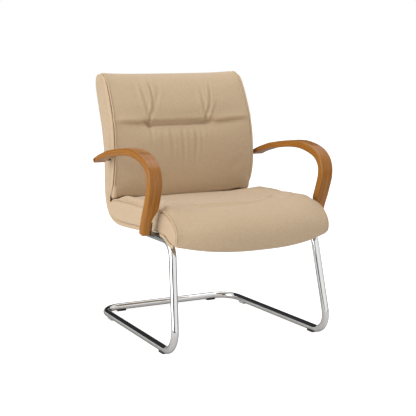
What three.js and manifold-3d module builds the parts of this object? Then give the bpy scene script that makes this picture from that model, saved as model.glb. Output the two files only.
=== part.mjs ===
// Sled base visitor chair: a bent steel tube frame, a moulded plywood seat-and-back shell with
// upholstered cushions, and two bent laminated wooden arms. Millimetres, +Z up, the sitter faces -Y,
// and the chair is mirrored about X = 0. The origin is on the floor at the middle of the outline.
import * as THREE from 'three';
import { mergeVertices } from 'three/addons/utils/BufferGeometryUtils.js';
import Module from 'manifold-3d';

const wasm = await Module();
wasm.setup();

// Clearances
const seatGap = 0.3; // between a piece and what it rests on
const softGap = 0.8; // between a cushion and the facets of a bend
const holeGap = 0.4; // round a screw, bolt or bush in its hole
const overrun = 2; // a cutting tool runs this far past the face that it cuts

// Sled frame
const tubeDiameter = 24;
const tubeWall = 2.5;
const tubeSides = 12;
const boreSides = 8;
const bendSteps = 6;
const railHeight = 4; // underside of the floor rails, on their glides
const topRailZ = 360;
const crossRailY = 0;
// How far the tube's corners lie outside the shell's cover, which sets the chair's width
const floorCornerOut = 21;
const rearCornerOut = 3.3;
const topCornerIn = 1.5;
// How far its front corners lie ahead of the plywood, and its rear rail ahead of the back's rear
const floorCornerAhead = 116.5;
const topCornerAhead = 47.4;
const rearRailAhead = 17;
const floorBendRadius = 66;
const rearBendRadius = 76;
const topBendRadius = 60;
const crossBendRadius = 60;
const buttGap = 0.8;
const sleeveLength = 60;
const sleeveWall = 2;

// Glides
const glideLength = 34;
const glideWidth = 18;
const glideHug = 5; // how far a glide climbs the side of the tube
const frontGlideBehind = 99.5; // behind the front corners
const sideGlideAhead = 106; // ahead of the rear rail
const rearGlideIn = 80; // inside the rear corners

// Moulded plywood shell, seat and back in one sheet
const plyThickness = 10;
const coverLap = 3; // the cover beside the plywood
const plateThickness = 4;
const plyFrontY = -195;
const plyBendRadius = 108;
const plyBendY = 180; // where the seat part starts to bend up
const shellBendSteps = 10;
const plyTopRise = 327.4; // from the end of the bend to the top edge
const plyTopSetback = 70; // how far the top edge lies behind the bend's end
// Back line above the bend: share of the rise, share of the setback
const plyBackShares = [
  [0, 0], [0.108, 0.014], [0.215, 0.021], [0.328, 0.071], [0.414, 0.143],
  [0.514, 0.257], [0.636, 0.414], [0.771, 0.643], [0.905, 0.871], [1, 1],
];

// Upholstered outside of the shell
const coverHalfWidth = 261;
const liningThickness = 3.4; // under the seat, between the mounting plates
const padBottom = 24;
const padBack = 7;
const padStart = 210; // from the front edge of the plywood
const padThinningShare = 0.35; // share of the bend over which the padding stays thick

// Seat cushion
const seatOverhang = 17; // beside the shell's cover
const seatNose = 171; // ahead of the plywood
const seatTuck = 54; // behind the start of the plywood's bend
const seatThickness = 135;
const seatLipDrop = 33; // below the middle of the tube
const seatFrontPower = 2.6;
const seatStations = 7;
const seatSteps = 36;
// The side swells out past its seams towards a spine at one height: shares of the swelling, each with
// the share by which the outline has drawn in to the spine
const seatPuff = 3;
const swellShares = [[0.6, 0.12], [1, 0.5]];
const spineHeightShare = 0.6;
const spineEndShares = [0.2, 0.93];
// Middle section from the front edge of the plywood under the lip, up the front, over the top and
// down the rear: shares of the seat's depth and thickness
const seatMiddleShares = [
  [0.283, 0.348], [0.223, 0.165], [0.143, 0.012], [0.073, -0.044], [0.027, 0.006], [0.003, 0.165],
  [0, 0.407], [0.023, 0.63], [0.077, 0.822], [0.16, 0.948], [0.252, 0.993], [0.327, 0.933],
  [0.41, 0.911], [0.56, 0.889], [0.743, 0.859], [0.877, 0.839], [0.965, 0.83], [0.998, 0.74],
  [0.993, 0.57],
];
const seatSideShares = [
  [0.28, 0.37], [0.228, 0.345], [0.185, 0.257], [0.147, 0.196], [0.115, 0.197], [0.098, 0.298],
  [0.094, 0.457], [0.109, 0.606], [0.149, 0.762], [0.222, 0.888], [0.316, 0.926], [0.432, 0.911],
  [0.54, 0.892], [0.66, 0.884], [0.78, 0.89], [0.88, 0.917], [0.955, 0.9], [0.992, 0.76],
  [0.997, 0.519],
];
// The top is fullest beside its rims: height over the rim, shares of the half width where the fullness
// starts and is greatest, shares of the depth over which it comes up at the front and goes down at the
// rear, and the share of it that is left there
const shoulderRise = 22;
const shoulderAcross = [0.45, 0.9];
const shoulderFront = [0.06, 0.3];
const shoulderRear = [0.777, 0.952];
const shoulderLeft = 0.05;
const shoulderFoot = 0.62; // share of the thickness above which it counts
// Lower seam along the side, rear to front, and the depth shares of the underside's points
const seatSeamShares = [
  [0.977, 0.407], [0.91, 0.333], [0.827, 0.326], [0.727, 0.341], [0.593, 0.374], [0.422, 0.393],
  [0.343, 0.396], [0.285, 0.385],
];
const seatUnderShares = [0.963, 0.9, 0.827, 0.727, 0.593, 0.422, 0.343];

// Back cushion
const backWidthPower = 4;
const backStations = 7;
const backSteps = 34;
const backLift = 54.8; // over the underside of the seat cushion
const backRoll = 56; // above the plywood
const backRearPad = 8; // behind the top of the plywood
const backDepth = 196;
// Front face bottom to top and over the roll: shares of the depth behind the front, and of the height
const backMiddleShares = [
  [0.153, 0], [0.077, 0.075], [0.026, 0.169], [0, 0.287], [0.005, 0.405], [0.031, 0.499],
  [0.071, 0.562], [0.148, 0.591], [0.092, 0.624], [0.102, 0.687], [0.163, 0.765], [0.27, 0.847],
  [0.429, 0.929], [0.602, 0.974], [0.776, 0.988], [0.918, 0.972], [0.99, 0.934], [0.995, 0.896],
];
const backSideShares = [
  [0.174, 0.032], [0.138, 0.08], [0.081, 0.175], [0.051, 0.278], [0.053, 0.4], [0.073, 0.5],
  [0.105, 0.576], [0.132, 0.621], [0.155, 0.656], [0.182, 0.694], [0.263, 0.769], [0.355, 0.852],
  [0.475, 0.939], [0.627, 0.988], [0.786, 1], [0.92, 0.981], [0.994, 0.939], [1, 0.896],
];
// The back widens from the shell's cover to its front rim, over this depth
const footFlare = 12.5; // at its foot
const topFlare = 4;
const flareDepth = 90;
const flareFadeZ = 60; // the side bands' flare ends this far under the back
const bandFlareShare = 1.05; // the side bands' flare, a share of the back's

// Side bands: the soft strip round the shell's edge, from under the seat to the top corner
const bandThickness = 4;
const bandCrown = 3;
const crownShares = [0.3, 0.7]; // where its width is fullest
const bandSteps = 46;
const bandNose = 3; // ahead of the plywood
const bandDrop = 8; // below the middle of the tube
const bandTopDrop = 2; // below the top of the back
// Edge against the cushions, and the outer edge: shares of the reach and of the rise
const bandInnerShares = [
  [0, 0.046], [0.067, 0.0545], [0.19, 0.0525], [0.286, 0.0505], [0.35, 0.0475], [0.474, 0.0395],
  [0.597, 0.036], [0.676, 0.037], [0.737, 0.045], [0.764, 0.07], [0.777, 0.103], [0.779, 0.142],
  [0.77, 0.176], [0.717, 0.232], [0.689, 0.317], [0.677, 0.405], [0.678, 0.506], [0.686, 0.599],
  [0.711, 0.706], [0.75, 0.809], [0.788, 0.891], [0.83, 0.959], [0.878, 0.986], [0.922, 0.992],
];
const bandOuterShares = [
  [0, 0.0408], [0.067, 0.0408], [0.19, 0.0408], [0.28, 0.0408], [0.343, 0.0175], [0.456, 0.0068],
  [0.589, 0], [0.686, 0.002], [0.77, 0.028], [0.823, 0.072], [0.851, 0.121], [0.864, 0.171],
  [0.871, 0.22], [0.873, 0.298], [0.873, 0.375], [0.879, 0.467], [0.897, 0.57], [0.925, 0.677],
  [0.955, 0.765], [0.981, 0.842], [0.996, 0.895], [1, 0.938], [0.986, 0.971], [0.947, 0.994],
];

// Welts: the corded seams
const weltRadius = 2.6;
const weltSides = 6;
const weltGap = 0.5; // between a cord and its cushion
const seatWeltShares = [0.22, 0.89]; // where it starts and ends along the cushion's outline
const backWeltShares = [0.06, 0.82];

// Bent laminated arms
const armStandoff = 29; // beside the shell's cover
const armWidth = 45;
const armRound = 5;
const armNose = 34.5; // ahead of the plywood
const armTipBehind = 55.5; // behind the front of the back
const armLift = 4.7; // over the mounting plates' underside
const armRise = 249.5;
const armBottomThickness = 27;
const armTipThickness = 17;
const armTipRound = 7;
const armTaperShare = 0.4; // share of the arm's length over which it keeps its thickness
// The arm's foot is narrower, cut back on its inner side
const footRecess = 15.5;
const footRecessRise = 41; // over the foot, where it is still full
const footRecessFade = 48; // height over which it runs out
const armSteps = 30;
const armTipSteps = 3;
const armCornerSteps = 2;
// Middle line from the lower end, over the bend, to the tip: shares of the reach and of the rise
const armLineShares = [
  [0.134, 0], [0.122, 0.084], [0.089, 0.236], [0.057, 0.36], [0.021, 0.521], [0.005, 0.605],
  [0, 0.673], [0.001, 0.733], [0.014, 0.802], [0.041, 0.862], [0.08, 0.912], [0.131, 0.948],
  [0.197, 0.976], [0.296, 1], [0.395, 0.998], [0.471, 0.986], [0.571, 0.965], [0.664, 0.94],
  [0.736, 0.92], [0.811, 0.886], [0.886, 0.85], [0.946, 0.814], [1, 0.778],
];

// Arm fixings
const bushDiameter = 12;
const armBoltDiameter = 8;
const armBoltHead = 12;
const armBoltHeadHeight = 5;
const counterboreDiameter = 14;
const counterboreDepth = 8;
const armBoltBackset = 15; // from the arm's tip to the bolt
const bracketHeight = 42;
const flangeWidth = 46;
const bossDiameter = 14;
const bossLength = 8;
const woodScrewDiameter = 4;
const woodScrewHead = 8;
const woodScrewHeadHeight = 2.4;
const woodScrewLength = 9;
const woodScrewSpread = 22;
const earHeight = 44;
const earWidth = 16;
const armPlateDepth = 53; // inside the shell's cover
const armPlateWidth = 44;
const armPlateBoltInset = 18;
const armPlateBoltSpread = 24;
const armScrewDiameter = 6;
const armScrewHead = 11;
const armScrewHeadHeight = 3.2;
const armScrewLength = 26;
const armScrewRises = [11, 29];

// Shell fixings
const rearPlateX = 90;
const rearPlateWidth = 60;
const rearPlateReach = 60;
const rearPlateFront = 48; // ahead of the cross run's middle
const rearPlateBoltSpread = 36;
const plateEdge = 14; // from a plate's edge to its bolt
const shellBoltDiameter = 6;
const shellBoltHead = 12;
const shellBoltHeadHeight = 4;
const teeNutBarrel = 9.4;
const teeNutFlange = 20;
const teeNutFlangeThickness = 1.4;

// Foam cores
const foamInset = 9;
const backRollShare = 0.8; // where the back's outline stops being followed, behind its top
const foamStations = 4;
const seatFoamRearShare = 0.93;

// Corners this near to each other are one corner
const weldShare = 1e-4;

// Round parts are turned in this many steps
const roundSides = 10;

// Worked out from the sizes above
const tubeRadius = tubeDiameter / 2;
const floorRailZ = railHeight + tubeRadius;
const plateZ = topRailZ + tubeRadius + seatGap;
const plyZ = plateZ + plateThickness + seatGap;
const plyTopZ = plyZ + plyThickness;
const cushionZ = plyTopZ + seatGap;
const plyHalfWidth = coverHalfWidth - coverLap;
const padFrontY = plyFrontY + padStart;
const seatHalfWidth = coverHalfWidth + seatOverhang;
const seatFrontY = plyFrontY - seatNose;
const seatDepth = plyBendY + seatTuck - seatFrontY;
const seatLipZ = topRailZ - seatLipDrop;
const backRearY = plyBendY + plyBendRadius + plyTopSetback + backRearPad;
const backFrontY = backRearY - backDepth;
const backBottomZ = cushionZ + backLift;
const backHeight = plyZ + plyBendRadius + plyTopRise + backRoll - backBottomZ;
const bandFrontY = plyFrontY - bandNose;
const bandReach = backRearY - bandFrontY; // from its front end to its rearmost point
const bandBottomZ = topRailZ - bandDrop;
const bandRise = backBottomZ + backHeight - bandTopDrop - bandBottomZ;
const floorCornerX = coverHalfWidth + floorCornerOut;
const rearCornerX = coverHalfWidth + rearCornerOut;
const topCornerX = coverHalfWidth - topCornerIn;
const floorCornerY = plyFrontY - floorCornerAhead;
const topCornerY = plyFrontY - topCornerAhead;
const rearRailY = backRearY - rearRailAhead;
const frontGlideY = floorCornerY + frontGlideBehind;
const sideGlideY = rearRailY - sideGlideAhead;
const rearGlideX = rearCornerX - rearGlideIn;
const armInnerX = coverHalfWidth + armStandoff;
const armOuterX = armInnerX + armWidth;
const armFrontY = plyFrontY - armNose;
const armReach = backFrontY + armTipBehind - armFrontY;
const armBottomZ = plateZ + armLift;
const armPlateInnerX = coverHalfWidth - armPlateDepth;
const bandX = coverHalfWidth + seatGap;
const bracketX = coverHalfWidth - plateThickness;
const boltHeadZ = plateZ - seatGap - shellBoltHeadHeight;

const materials = {
  chrome: { color: 0xc9ccce, roughness: 0.08, metalness: 1 },
  steel: { color: 0x2b2a2a, roughness: 0.45, metalness: 0.8 },
  zinc: { color: 0xa9abad, roughness: 0.35, metalness: 0.9 },
  plastic: { color: 0x1d1d1e, roughness: 0.5, metalness: 0 },
  paleGlide: { color: 0xb9bab8, roughness: 0.4, metalness: 0 },
  wood: { color: 0xa86e34, roughness: 0.35, metalness: 0 },
  ply: { color: 0xc9a878, roughness: 0.7, metalness: 0 },
  fabric: { color: 0xc9af8e, roughness: 0.95, metalness: 0 },
  foam: { color: 0xe9dfb8, roughness: 1, metalness: 0 },
};

// Solids for cutting and joining

function toSolid(geometry) {
  const bare = geometry.clone();
  bare.deleteAttribute('normal');
  bare.deleteAttribute('uv');
  const merged = mergeVertices(bare, weldShare);
  const corners = merged.index.array;
  const faces = [];
  for (let i = 0; i < corners.length; i += 3) {
    const [a, b, c] = corners.slice(i, i + 3);
    if (a !== b && b !== c && c !== a) faces.push(a, b, c);
  }
  const mesh = new wasm.Mesh({
    numProp: 3,
    vertProperties: new Float32Array(merged.attributes.position.array),
    triVerts: new Uint32Array(faces),
  });
  return new wasm.Manifold(mesh);
}

function toGeometry(solid) {
  const mesh = solid.getMesh();
  const geometry = new THREE.BufferGeometry();
  geometry.setAttribute('position', new THREE.BufferAttribute(new Float32Array(mesh.vertProperties), 3));
  geometry.setIndex(new THREE.BufferAttribute(new Uint32Array(mesh.triVerts), 1));
  return geometry;
}

function cut(geometry, ...tools) {
  return toGeometry(tools.reduce((solid, tool) => solid.subtract(toSolid(tool)), toSolid(geometry)));
}

function join(geometry, ...others) {
  return toGeometry(others.reduce((solid, other) => solid.add(toSolid(other)), toSolid(geometry)));
}

// Shapes

function block(x0, x1, y0, y1, z0, z1) {
  const geometry = new THREE.BoxGeometry(x1 - x0, y1 - y0, z1 - z0);
  return geometry.translate((x0 + x1) / 2, (y0 + y1) / 2, (z0 + z1) / 2);
}

// A round bar turned about its own axis from [radius, height] pairs, then stood along an axis
function turned(profile, axis) {
  const points = profile.map(([radius, height]) => new THREE.Vector2(radius, height));
  const geometry = new THREE.LatheGeometry(points, roundSides);
  if (axis === 'x') geometry.rotateZ(-Math.PI / 2);
  if (axis === 'y') return geometry;
  if (axis === 'z') geometry.rotateX(Math.PI / 2);
  return geometry;
}

function rod(diameter, from, to, axis) {
  return turned([[0, from], [diameter / 2, from], [diameter / 2, to], [0, to]], axis);
}

// A screw or bolt from its head's outer face: the head, then the shank
function headed(headDiameter, headHeight, shankDiameter, length, axis) {
  const profile = [
    [0, 0], [headDiameter / 2 - headHeight / 4, 0], [headDiameter / 2, headHeight / 4],
    [headDiameter / 2, headHeight], [shankDiameter / 2, headHeight],
    [shankDiameter / 2, headHeight + length], [0, headHeight + length],
  ];
  return turned(profile, axis);
}

// A turned sleeve from [radius, height] pairs that close on themselves
function sleeve(profile, axis) {
  return turned([...profile, profile[0]], axis);
}

// Rings of equal count joined into one closed body. flatten lays an end ring out flat for its cap.
function loft(rings, flatten) {
  const count = rings[0].length;
  const faces = [];
  for (let r = 0; r + 1 < rings.length; r += 1) {
    for (let i = 0; i < count; i += 1) {
      const a = r * count + i;
      const b = r * count + ((i + 1) % count);
      faces.push(a, b, b + count, a, b + count, a + count);
    }
  }
  faces.push(...cap(rings[0], flatten, 0, true));
  faces.push(...cap(rings.at(-1), flatten, (rings.length - 1) * count, false));
  const geometry = new THREE.BufferGeometry();
  const positions = rings.flat().flatMap((point) => [point.x, point.y, point.z]);
  geometry.setAttribute('position', new THREE.Float32BufferAttribute(positions, 3));
  geometry.setIndex(faces);
  return signedVolume(geometry) < 0 ? turnedOut(geometry) : geometry;
}

function cap(ring, flatten, first, backwards) {
  const flat = ring.map(flatten);
  const triangles = THREE.ShapeUtils.triangulateShape(flat, []);
  const [p, q, r] = triangles[0];
  const follows = THREE.ShapeUtils.area(flat) * THREE.ShapeUtils.area([flat[p], flat[q], flat[r]]) > 0;
  const flip = follows === backwards;
  return triangles.flatMap(([a, b, c]) => (flip ? [b, a, c] : [a, b, c]).map((i) => first + i));
}

function signedVolume(geometry) {
  const at = (i) => new THREE.Vector3().fromBufferAttribute(geometry.attributes.position, i);
  const index = geometry.index.array;
  let total = 0;
  for (let i = 0; i < index.length; i += 3) {
    total += at(index[i]).dot(at(index[i + 1]).cross(at(index[i + 2])));
  }
  return total / 6;
}

function turnedOut(geometry) {
  const index = geometry.index.array;
  for (let i = 0; i < index.length; i += 3) {
    const kept = index[i];
    index[i] = index[i + 1];
    index[i + 1] = kept;
  }
  return geometry;
}

const acrossX = (point) => new THREE.Vector2(point.y, point.z);
const alongX = (x, points) => points.map((point) => new THREE.Vector3(x, point.x, point.y));
const pair = (y, z) => new THREE.Vector2(y, z);

// The other hand of a piece, turned right side out again
function mirrored(geometry) {
  const copy = toGeometry(toSolid(geometry));
  copy.scale(-1, 1, 1);
  return turnedOut(copy);
}

// An outline in the y-z plane carried from one x to another
function slab(outline, x0, x1) {
  const settings = { depth: x1 - x0, bevelEnabled: false };
  const geometry = new THREE.ExtrudeGeometry(new THREE.Shape(outline), settings);
  const turn = new THREE.Matrix4().makeBasis(
    new THREE.Vector3(0, 1, 0), new THREE.Vector3(0, 0, 1), new THREE.Vector3(1, 0, 0));
  return geometry.applyMatrix4(turn).translate(x0, 0, 0);
}

// Unit normals of an open line in the y-z plane, on the right of its run
function normalsOf(points) {
  return points.map((point, i) => {
    const before = points[Math.max(i - 1, 0)];
    const after = points[Math.min(i + 1, points.length - 1)];
    const along = after.clone().sub(before).normalize();
    return pair(along.y, -along.x);
  });
}

function offsetLine(points, distanceAt) {
  const normals = normalsOf(points);
  return points.map((point, i) => point.clone().addScaledVector(normals[i], distanceAt(i)));
}

function smoothPoints(points, steps) {
  return new THREE.SplineCurve(points).getPoints(steps);
}

function smoothShare(value) {
  return THREE.MathUtils.smoothstep(value, 0, 1);
}

// A cord of round section that follows points of the y-z plane, each at its own x
function cord(points, places, radius, sides) {
  const normals = normalsOf(points);
  const rings = points.map((point, i) => Array.from({ length: sides }, (_, k) => {
    const angle = (2 * Math.PI * k) / sides;
    const side = point.clone().addScaledVector(normals[i], radius * Math.cos(angle));
    return new THREE.Vector3(places[i] + radius * Math.sin(angle), side.x, side.y);
  }));
  const flatten = (point) => pair(point.x, point.y + point.z);
  return loft(rings, flatten);
}

// Frame tube

// A path through corners, each rounded to its own radius, that gives its stations by index, so that
// the straight runs take one step each
class BentPath extends THREE.Curve {
  constructor(corners, radii) {
    super();
    this.places = [];
    this.tangents = [];
    corners.forEach((corner, i) => this.addCorner(corners[i - 1], corner, corners[i + 1], radii[i]));
  }

  addCorner(before, corner, after, radius) {
    if (!before || !after) {
      const along = (after ? after.clone().sub(corner) : corner.clone().sub(before)).normalize();
      this.places.push(corner.clone());
      this.tangents.push(along);
      return;
    }
    const inward = corner.clone().sub(before).normalize();
    const onward = after.clone().sub(corner).normalize();
    const turn = inward.angleTo(onward);
    const start = corner.clone().addScaledVector(inward, -radius * Math.tan(turn / 2));
    const toCentre = onward.clone().addScaledVector(inward, -inward.dot(onward)).normalize();
    const centre = start.clone().addScaledVector(toCentre, radius);
    for (let i = 0; i <= bendSteps; i += 1) {
      const angle = (turn * i) / bendSteps;
      this.places.push(centre.clone().addScaledVector(toCentre, -radius * Math.cos(angle))
        .addScaledVector(inward, radius * Math.sin(angle)));
      this.tangents.push(inward.clone().multiplyScalar(Math.cos(angle))
        .addScaledVector(toCentre, Math.sin(angle)));
    }
  }

  get steps() {
    return this.places.length - 1;
  }

  getPointAt(share, target = new THREE.Vector3()) {
    return target.copy(this.places[Math.round(share * this.steps)]);
  }

  getTangentAt(share, target = new THREE.Vector3()) {
    return target.copy(this.tangents[Math.round(share * this.steps)]);
  }
}

function ringOfPoints(radius, sides) {
  return Array.from({ length: sides }, (_, i) => {
    const angle = (2 * Math.PI * (i + 0.5)) / sides;
    return pair(radius * Math.cos(angle), radius * Math.sin(angle));
  });
}

function framePath() {
  const half = [
    new THREE.Vector3(buttGap / 2, crossRailY, topRailZ),
    new THREE.Vector3(topCornerX, crossRailY, topRailZ),
    new THREE.Vector3(topCornerX, topCornerY, topRailZ),
    new THREE.Vector3(floorCornerX, floorCornerY, floorRailZ),
    new THREE.Vector3(rearCornerX, rearRailY, floorRailZ),
  ];
  const otherHalf = half.map((point) => new THREE.Vector3(-point.x, point.y, point.z)).reverse();
  const halfRadii = [0, crossBendRadius, topBendRadius, floorBendRadius, rearBendRadius];
  return new BentPath([...half, ...otherHalf], [...halfRadii, ...halfRadii.slice().reverse()]);
}

function tubeAlong(path, outerRadius, innerRadius) {
  const section = new THREE.Shape(ringOfPoints(outerRadius, tubeSides));
  if (innerRadius > 0) section.holes.push(new THREE.Path(ringOfPoints(innerRadius, boreSides)));
  const settings = { steps: path.steps, extrudePath: path, bevelEnabled: false };
  return new THREE.ExtrudeGeometry(section, settings);
}

function railX(y) {
  return THREE.MathUtils.mapLinear(y, floorCornerY, rearRailY, floorCornerX, rearCornerX);
}

// A glide's pad, hollowed to the tube that it hugs
function glide(x, y, acrossWidth, alongLength) {
  const pad = block(
    x - acrossWidth / 2, x + acrossWidth / 2, y - alongLength / 2, y + alongLength / 2,
    0, railHeight + glideHug);
  return cut(pad, fatTube);
}

// Plywood shell

// Outer face of the plywood in the y-z plane, from its front edge to its top edge
function shellLine() {
  const centre = pair(plyBendY, plyZ + plyBendRadius);
  const line = [pair(plyFrontY, plyZ)];
  for (let i = 0; i <= shellBendSteps; i += 1) {
    const angle = (Math.PI / 2) * (i / shellBendSteps);
    line.push(pair(centre.x + plyBendRadius * Math.sin(angle), centre.y - plyBendRadius * Math.cos(angle)));
  }
  const back = plyBackShares.map(([rise, setback]) => pair(
    centre.x + plyBendRadius + setback * plyTopSetback, centre.y + rise * plyTopRise));
  return [...line, ...back.slice(1)];
}

function shellOutline(line, insideAt, outsideAt) {
  return [...offsetLine(line, outsideAt), ...offsetLine(line, insideAt).reverse()];
}

// Height of the plywood's upper face under a place on the seat, and its front face's y at a height
function plyTopAt(y) {
  const inner = plyBendRadius - plyThickness;
  const reach = Math.max(y - plyBendY, 0);
  return plyZ + plyBendRadius - Math.sqrt(inner * inner - reach * reach);
}

function onPly(y) {
  return pair(y, plyTopAt(y) + (y > plyBendY ? softGap : seatGap));
}

function plyFaceAt(z) {
  const inner = offsetLine(shellLine(), () => -plyThickness);
  const i = inner.findIndex((point, k) => k > 0 && point.y >= z);
  return THREE.MathUtils.mapLinear(z, inner[i - 1].y, inner[i].y, inner[i - 1].x, inner[i].x);
}

// Padding outside the plywood: thick under the seat and round the bend, thin up the back
function padAt(i) {
  const bendShare = (i - 1) / shellBendSteps;
  const thinning = smoothShare((bendShare - padThinningShare) / (1 - padThinningShare));
  return THREE.MathUtils.lerp(padBottom, padBack, thinning);
}

function outerCover() {
  const line = shellLine();
  const rear = [pair(padFrontY, plyZ), ...line.slice(1)];
  const padded = shellOutline(rear, () => seatGap, padAt);
  const upright = shellOutline(
    line.slice(shellBendSteps), () => seatGap, (i) => padAt(i + shellBendSteps));
  const liningTop = plyZ - seatGap;
  const lining = block(
    -plyHalfWidth, plyHalfWidth, plyFrontY, padFrontY + overrun, liningTop - liningThickness, liningTop);
  const whole = join(
    slab(padded, -plyHalfWidth, plyHalfWidth), slab(upright, -coverHalfWidth, coverHalfWidth), lining);
  return cut(whole, ...plateBoxes(seatGap));
}

// Cushions

function seatPlace([depthShare, heightShare]) {
  return pair(seatFrontY + depthShare * seatDepth, seatLipZ + heightShare * seatThickness);
}

function between(sideShares, middleShares, share, place) {
  return sideShares.map((side, i) => place(side).lerp(place(middleShares[i]), share));
}

// The seat's outline at one x: over the lip and the top by a smooth curve, then along its underside
function seatOutline(x, steps, overPly) {
  const middle = 1 - Math.pow(Math.abs(x) / seatHalfWidth, seatFrontPower);
  const upper = smoothPoints(between(seatSideShares, seatMiddleShares, middle, seatPlace), steps)
    .map((point) => pair(point.x, point.y + shoulderAt(x, point)));
  if (!overPly) return { upper, under: seatSeamShares.map(seatPlace) };
  const under = seatUnderShares.map((share) => onPly(seatFrontY + share * seatDepth));
  const clear = upper.map((point) => (
    point.x > plyBendY ? pair(point.x, Math.max(point.y, onPly(point.x).y)) : point));
  return { upper: clear, under: [...under, pair(plyFrontY - seatGap, cushionZ)] };
}

// How far the seat's top stands up beside its rims
function shoulderAt(x, point) {
  const across = Math.abs(x) / seatHalfWidth;
  const along = (point.x - seatFrontY) / seatDepth;
  const up = (point.y - seatLipZ) / seatThickness;
  const [start, peak] = shoulderAcross;
  const side = across < peak
    ? smoothShare((across - start) / (peak - start)) : 1 - smoothShare((across - peak) / (1 - peak));
  const front = smoothShare(THREE.MathUtils.inverseLerp(...shoulderFront, along));
  const rear = 1 - (1 - shoulderLeft) * smoothShare(THREE.MathUtils.inverseLerp(...shoulderRear, along));
  const top = smoothShare((up - shoulderFoot) / (1 - shoulderFoot) / 0.6);
  return shoulderRise * side * front * rear * top;
}

// The side of the seat swells out past its seams
function swollen(outline, x, draw) {
  const [front, rear] = spineEndShares.map((share) => seatFrontY + share * seatDepth);
  const spineZ = seatLipZ + spineHeightShare * seatThickness;
  const spine = (point) => pair(THREE.MathUtils.clamp(point.x, front, rear), spineZ);
  return alongX(x, outline.map((point) => point.clone().lerp(spine(point), draw)));
}

// Stations from the middle to the side, closer together towards the side
function stations(halfWidth, count) {
  const angle = Math.PI / 2 / (count - 1);
  return Array.from({ length: count }, (_, i) => halfWidth * Math.sin(angle * i));
}

function seatCushion() {
  const overPlyX = plyHalfWidth + seatGap;
  const sideX = overPlyX + seatGap;
  const rim = Object.values(seatOutline(seatHalfWidth, seatSteps, false)).flat();
  return loft(bothSides([
    ...stations(overPlyX, seatStations).map((x) => ringOf(seatOutline(x, seatSteps, true), x)),
    ringOf(seatOutline(sideX, seatSteps, false), sideX),
    alongX(seatHalfWidth, rim),
    ...swellShares.map(([out, draw]) => swollen(rim, seatHalfWidth + out * seatPuff, draw)),
  ]), acrossX);
}

function ringOf({ upper, under }, x) {
  return alongX(x, [...upper, ...under]);
}

// Rings from the middle outwards, repeated on the other side
function bothSides(half) {
  const across = (point) => new THREE.Vector3(-point.x, point.y, point.z);
  const other = half.slice(1).map((ring) => ring.map(across));
  return [...other.reverse(), ...half];
}

function backPlace([depthShare, heightShare]) {
  return pair(backFrontY + depthShare * backDepth, backBottomZ + heightShare * backHeight);
}

// The back cushion's outline at one x: up the front and over the roll, then down on the plywood
function backOutline(x, steps) {
  const middle = 1 - Math.pow(Math.abs(x) / coverHalfWidth, backWidthPower);
  const upper = smoothPoints(between(backSideShares, backMiddleShares, middle, backPlace), steps);
  const face = offsetLine(shellLine(), () => -plyThickness - softGap)
    .filter((point) => point.y > backBottomZ + overrun);
  const top = face.at(-1);
  const ledge = top.y + softGap;
  const foot = pair(plyFaceAt(backBottomZ) - softGap, backBottomZ);
  const under = [
    pair(upper.at(-1).x - overrun, ledge), pair(top.x, ledge), ...face.slice(0, -1).reverse(), foot];
  return { upper, under };
}

// How far the back's side stands out from the shell's cover at a place beside it
function flareAt(y, z) {
  const rise = THREE.MathUtils.clamp((z - backBottomZ) / backHeight, 0, 1);
  const below = smoothShare((z - backBottomZ + flareFadeZ) / flareFadeZ);
  const ahead = THREE.MathUtils.clamp((faceYAt(z) - y) / flareDepth, 0, 1);
  return THREE.MathUtils.lerp(footFlare, topFlare, rise) * below * ahead;
}

function faceYAt(z) {
  return plyFaceAt(THREE.MathUtils.clamp(z, backBottomZ, plyZ + plyBendRadius + plyTopRise - plyThickness));
}

function flared(point) {
  const widening = 1 + flareAt(point.y, point.z) / coverHalfWidth;
  return new THREE.Vector3(point.x * widening, point.y, point.z);
}

function backCushion() {
  const rings = stations(coverHalfWidth, backStations).map((x) => ringOf(backOutline(x, backSteps), x));
  return loft(bothSides(rings.map((ring) => ring.map(flared))), acrossX);
}

// A closed line moved inwards, for the foam inside a cover
function drawnIn(points, inset) {
  const turn = Math.sign(THREE.ShapeUtils.area(points));
  return points.map((point, i) => {
    const along = points[(i + 1) % points.length].clone().sub(points.at(i - 1)).normalize();
    return point.clone().addScaledVector(pair(-along.y, along.x), turn * inset);
  });
}

// Foam of the seat, which rests on the plywood. drop lowers its underside, for the hollow that it fills.
function seatCore(inset, halfWidth, drop) {
  const rings = stations(halfWidth, foamStations).map((x) => {
    const { upper, under } = seatOutline(x, seatSteps / 2, true);
    const inner = drawnIn([...upper, ...under], inset).slice(1, upper.length - 1);
    const rear = onPly(seatFrontY + seatFoamRearShare * seatDepth);
    const foot = [rear, onPly(plyBendY), pair(plyFrontY - seatGap, cushionZ)];
    return alongX(x, [...inner, ...foot.map((point) => pair(point.x, point.y - drop))]);
  });
  return loft(bothSides(rings), acrossX);
}

// Foam of the back, between its cover and the plywood. drop carries its rear face backwards.
function backCore(inset, halfWidth, drop) {
  const rings = stations(halfWidth, foamStations).map((x) => {
    const { upper, under } = backOutline(x, backSteps / 2);
    const rollStep = Math.round(backRollShare * (upper.length - 1));
    const [corner, ...inner] = drawnIn([...upper, ...under], inset).slice(0, rollStep);
    const foot = backBottomZ + inset;
    const face = [...under.slice(1, -1).filter((point) => point.y > foot + overrun),
      pair(plyFaceAt(foot) - softGap, foot)];
    const rear = face.map((point) => pair(point.x + drop, point.y));
    return alongX(x, [pair(corner.x, foot), ...inner, ...rear]);
  });
  return loft(bothSides(rings), acrossX);
}

// A welt on the rim of a cushion, from one share of its outline to another
function welt(points, xAt, [start, end]) {
  const last = points.length - 1;
  const stretch = points.slice(Math.round(start * last), Math.round(end * last) + 1);
  const line = offsetLine(stretch, () => -weltRadius - weltGap);
  return cord(line, stretch.map((point) => xAt(point) + weltGap), weltRadius, weltSides);
}

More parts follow.
